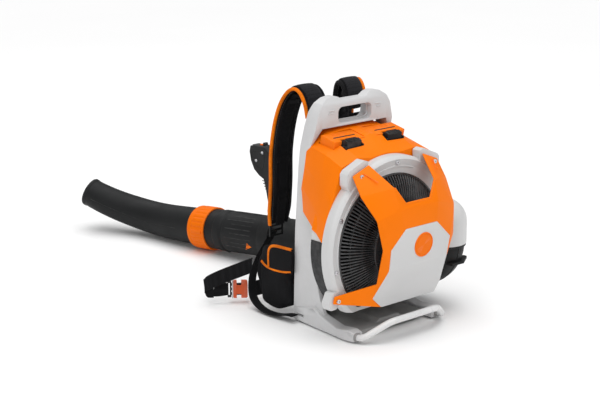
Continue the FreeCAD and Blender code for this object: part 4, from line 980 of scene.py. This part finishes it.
def stitches(name, points, up, length=3.2, gap=2.0, radius=0.45):
    """Row of thread stitches along points, as one piece."""
    verts, faces = [], []
    total = [0.0]
    for a, b in zip(points, points[1:]):
        total.append(total[-1] + (b - a).length)

    def at(s):
        for i in range(len(points) - 1):
            if s <= total[i + 1]:
                t = (s - total[i]) / max(1e-9, total[i + 1] - total[i])
                return points[i].lerp(points[i + 1], t)
        return points[-1]

    s = gap
    while s + length < total[-1]:
        a, b = at(s), at(s + length)
        d = (b - a).normalized()
        side, top = frame_at(d, up)
        loops = []
        for p, k in ((a, 0.3), (a.lerp(b, 0.2), 1.0), (a.lerp(b, 0.8), 1.0), (b, 0.3)):
            loops.append([p + side * radius * k * math.cos(math.pi * q / 3)
                          + top * radius * k * math.sin(math.pi * q / 3) for q in range(6)])
        v, f = skin(loops)
        base = len(verts)
        verts += v
        faces += [tuple(base + i for i in face) for face in f]
        s += length + gap
    piece(name, verts, faces, "frame", THREAD, angle=60)


def pad_from(node, name, cap, material, voxel=5.0, shrink=2.0, channels=None, smooth=6):
    """Pad made from its plain solid: a little smaller, remeshed, filled, then sewn."""
    ob = new_object(name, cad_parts[node].data.copy())
    bm = bmesh.new()
    bm.from_mesh(ob.data)
    bmesh.ops.remove_doubles(bm, verts=bm.verts, dist=2e-6)
    bm.to_mesh(ob.data)
    bm.free()
    voxels(ob, voxel, smooth)
    for v, n in [(v, v.normal.copy()) for v in ob.data.vertices]:
        v.co -= n * shrink * MM
    puff(ob, cap)
    if channels:
        for depth, width, distance in channels:
            crease(ob, depth, width, distance)
    finish_piece(ob, "frame", material, (node,), angle=180)


def shoulder_pad(side, label):
    route = [Vector((side * x, y, z)) for x, y, z in PAD_ROUTE]
    line = spline(route, 72)
    loops = []
    frames = []
    for i, p in enumerate(line):
        d = (line[min(i + 1, 72)] - line[max(i - 1, 0)]).normalized()
        out = X.cross(d).normalized() * -1.0
        taper = 1.0 - 0.22 * max(0.0, (i - 66) / 6)
        loops.append([p + X * a * taper + out * b for a, b in superellipse(28, 28.6, 4.6, 3.2)])
        frames.append((p, d, out, taper))
    verts, faces = skin(loops)
    ob = piece("strap_pad_" + label, verts, faces, None, PAD_CLOTH, ("shoulder_pad_" + label,), angle=180)
    voxels(ob, 4.6, 3)
    puff(ob, 4.0, 3.0)

    def lane(p):
        near = min(frames[::4], key=lambda f: (f[0] - p).length_squared)
        return abs(abs(p.x - near[0].x) - 13.5)

    crease(ob, 1.5, 3.0, lane)
    finish_piece(ob, "frame", PAD_CLOTH, (), 180)
    for s in (-1, 1):
        outer = s == side
        reach = BINDING_OUT if outer else BINDING_IN
        edge = [p + X * s * reach * t + out * 0.5 for p, d, out, t in frames]
        tube_on("strap_binding_%s_%d" % (label, s), edge, 3.6 if outer else 3.5, "frame",
                PIPING if outer else WEBBING, sides=12, up=X, flat=1.15)
    for s in (-1, 1):
        row = [p + X * s * 24.6 * t + out * 5.6 for p, d, out, t in frames[2:-2]]
        stitches("strap_stitch_%s_%d" % (label, s), row, X)
    # Inner mesh panel on the side that lies on the wearer.
    loops = []
    for i in range(6, 70):
        p, d, out, t = frames[i]
        k = min(1.0, (i - 6) / 4, (69 - i) / 4)
        loops.append([p + X * a + out * -(4.2 + 1.9 * k * b) for a, b in
                      ((-22, 0.0), (-20.5, 0.9), (-12, 1.3), (0, 1.45), (12, 1.3), (20.5, 0.9), (22, 0.0),
                       (12, -0.8), (-12, -0.8))])
    verts, faces = skin(loops)
    piece("strap_lining_" + label, verts, faces, "frame", PAD_MESH, angle=60)
    # Webbing over the pad's outside down to the adjuster.
    web = [p + out * 6.4 for p, d, out, t in frames[30:]]
    strap("strap_web_" + label, web, X, 25, 1.8, ())
    for k, (p, d, out, t) in enumerate((frames[34], frames[52])):
        m = Matrix((X, d, out)).transposed().to_4x4()
        m.translation = p + out * 7.4
        block("strap_keeper_%s_%d" % (label, k), (-17, -6, -1.0), (17, 6, 1.0), "frame", WEBBING,
              bevel=0.8, matrix=m)


def strap(name, points, across, width, thickness, replaces, blend=None, upright=False):
    """Flat webbing with rounded selvedges along a smooth line; upright webbing never turns flat."""
    loops = []
    n = len(points)
    w = Vector(across).normalized()
    h, q = width / 2, thickness / 2
    section = ((-h, 0), (-h + 0.8, q), (-h * 0.5, q * 1.1), (0, q * 1.15), (h * 0.5, q * 1.1),
               (h - 0.8, q), (h, 0), (h - 0.8, -q), (0, -q * 1.1), (-h + 0.8, -q))
    for i, p in enumerate(points):
        d = (points[min(i + 1, n - 1)] - points[max(i - 1, 0)]).normalized()
        if upright:
            d = Vector((d.x, d.y, 0.0)).normalized()
        ww = (w - d * w.dot(d)).normalized()
        t = d.cross(ww).normalized()
        loops.append([p + ww * a + t * b for a, b in section])
    verts, faces = skin(loops)
    ob = piece(name, verts, faces, None if blend else "frame", WEBBING, replaces, angle=50)
    if blend:
        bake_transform(ob)


def harness():
    for side, label in ((-1, "left"), (1, "right")):
        shoulder_pad(side, label)
        soften("strap_adjuster_" + label, "adjuster_" + label, "frame", BLACK, width=0.8)
    pad_from("back_pad", "back_cushion", 5.0, PAD_MESH,
             channels=[(4.0, 5.0, lambda p: p.x), (2.0, 3.5, lambda p: min(abs(p.z - 290), abs(p.z - 342)))])
    pad_from("lumbar_pad", "lumbar_cushion", 5.0, PAD_MESH,
             channels=[(3.5, 6.0, lambda p: p.x), (2.0, 3.5, lambda p: p.z - 123)])
    pad_from("harness_yoke", "yoke_cover", 1.0, PAD_CLOTH, voxel=2.4, shrink=0.4, smooth=3)
    pad_from("hip_pad_left", "hip_fin_left", 4.0, PAD_CLOTH, channels=[(2.0, 3.0, lambda p: p.y - 207)])
    pad_from("hip_pad_right", "hip_fin_right", 4.0, PAD_CLOTH,
             channels=[(2.0, 3.0, lambda p: p.y - 176)])
    # Pocket on the left hip fin, edged in orange, with a second line under it.
    pocket = ((102, 104), (140, 104), (177, 104), (178, 128), (176, 146), (168, 155), (150, 158),
              (126, 159), (102, 160))
    edge = spline([(y, z, 0) for y, z in pocket], 54)
    verts = [(x, p.x, p.y) for x in (-129.6, -122.0) for p in edge]
    count = len(edge)
    faces = [tuple(range(count)), tuple(range(2 * count - 1, count - 1, -1))]
    faces += [(k, (k + 1) % count, count + (k + 1) % count, count + k) for k in range(count)]
    piece("hip_pocket", verts, faces, "frame", PAD_CLOTH, bevel=2.6, segments=4, angle=60)
    rim = ((176, 106), (177, 126), (175, 143), (167, 153), (150, 157), (126, 158), (103, 159))
    loop = [(-128.4, y, z) for y, z in rim]
    tube_on("pocket_piping", spline(loop, 44), 3.3, "frame", PIPING, sides=12, up=X, flat=0.8)
    hem = ((201, 113), (188, 106), (172, 103), (148, 103), (128, 105), (104, 110))
    low = [(-127.4, y, z) for y, z in hem]
    tube_on("hip_piping", spline(low, 36), 3.3, "frame", PIPING, sides=12, up=X, flat=0.8)
    for side, label in ((-1, "left"), (1, "right")):
        if side < 0:
            low_route = [(-88, 202, 178), (-96, 214, 150), (-110, 230, 110), (-122, 238, 66),
                         (-130, 226, 26), (-134, 190, 8), (-134, 146, 7), (-132, 106, 16), (-131, 90, 17)]
            hip_route = [(-119, 243, 92), (-124, 250, 88), (-150, 278, 72), (-176, 304, 56),
                         (-188, 322, 42), (-182, 322, 30), (-171, 313, 29)]
        else:
            low_route = [(88, 202, 178), (84, 214, 150), (79, 222, 110), (79, 222, 66), (84, 212, 30),
                         (100, 184, 9), (118, 146, 7), (129, 106, 17.5), (131, 90, 17.5)]
            hip_route = [(66, 197, 90), (52, 214, 84), (24, 234, 66), (-14, 248, 48), (-50, 256, 34),
                         (-84, 262, 29), (-104, 265, 30)]
        strap("low_strap_" + label, spline(low_route, 64), X, 22, 1.9, ("lower_webbing_" + label,))
        strap("belt_" + label, spline(hip_route, 56), (0, 0.15, 1), 34, 2.2, ("hip_webbing_" + label,),
              upright=True)
    tail = spline([(-171, 313, 29), (-166, 309, 28.5), (-158, 302.5, 29.5), (-149, 295.5, 31),
                   (-146.2, 293.4, 31)], 20)
    strap("belt_tail", tail, (0, 0, 1), 29, 2.2, (),
          blend=("frame", "buckle", (-0.169, 0.3115, 0.029), (-0.1465, 0.2936, 0.031)))
    turn = Matrix.Translation(Vector((-147, 294, 31))) @ Matrix.Rotation(math.radians(-38), 4, "Z")
    # Painted highlight: a white plate on the buckle stands for the bright line of light along it.
    block("painted_buckle_highlight", (9.4, -7.6, -19.6), (12.4, 7.6, 19.6), "frame", WHITE, bevel=1.0, matrix=turn)
    soften("buckle_socket", "buckle_body", "frame", RED, width=1.2)
    soften("buckle_tongue", "buckle_prongs", "buckle", BLACK, width=0.8)


harness()


# ---- floor, light and camera --------------------------------------------------------------------
def stage():
    mesh = bpy.data.meshes.new("floor")
    mesh.from_pydata([(-30, -30, 0), (30, -30, 0), (30, 60, 0), (-30, 60, 0)], [], [(0, 1, 2, 3)])
    floor = new_object("floor", mesh)
    n = Nodes("floor_paper")
    n.set(Base_Color=n.mix(n.noise(1.5, 2.0), rgba((0.90, 0.90, 0.90)), rgba((0.92, 0.92, 0.92))))
    n.set(Roughness=0.85, Specular_IOR_Level=0.15)
    mesh.materials.append(n.material)
    world = bpy.data.worlds.new("studio")
    world.use_nodes = True
    world.node_tree.nodes["Background"].inputs[0].default_value = (1.0, 1.0, 1.0, 1.0)
    world.node_tree.nodes["Background"].inputs[1].default_value = 0.33
    scene.world = world
    sky = bpy.data.lights.new("sky_panel", "SUN")
    sky.energy, sky.angle = 2.42, math.radians(75)
    ob = new_object("sky_panel", sky)
    ob.rotation_euler = (math.radians(6), math.radians(-4), 0)
    for name, at, target, size, power in (
            ("key", (0.9, -2.6, 1.9), (0.0, 0.0, 0.25), 1.3, 10.0),
            ("side", (-2.4, -0.9, 1.5), (0.0, 0.2, 0.2), 0.9, 10.0),
            ("rim", (0.6, 2.6, 2.2), (0.0, 0.3, 0.3), 1.0, 7.0)):
        light = bpy.data.lights.new(name, "AREA")
        light.energy, light.size = power, size
        ob = new_object(name, light)
        ob.location = at
        ob.rotation_euler = (Vector(target) - Vector(at)).to_track_quat("-Z", "Y").to_euler()
    cam = bpy.data.cameras.new("camera")
    cam.lens, cam.sensor_width = 90.0, 36.0
    cam.clip_start, cam.clip_end = 0.05, 200.0
    ob = new_object("camera", cam)
    ob.location = Vector((-2138.8, -2156.7, 1049.5)) * MM
    ob.rotation_euler = (math.radians(75.5), 0.0, math.radians(-42.0))
    bpy.context.scene.camera = ob
    scene.view_settings.view_transform = "Standard"


stage()
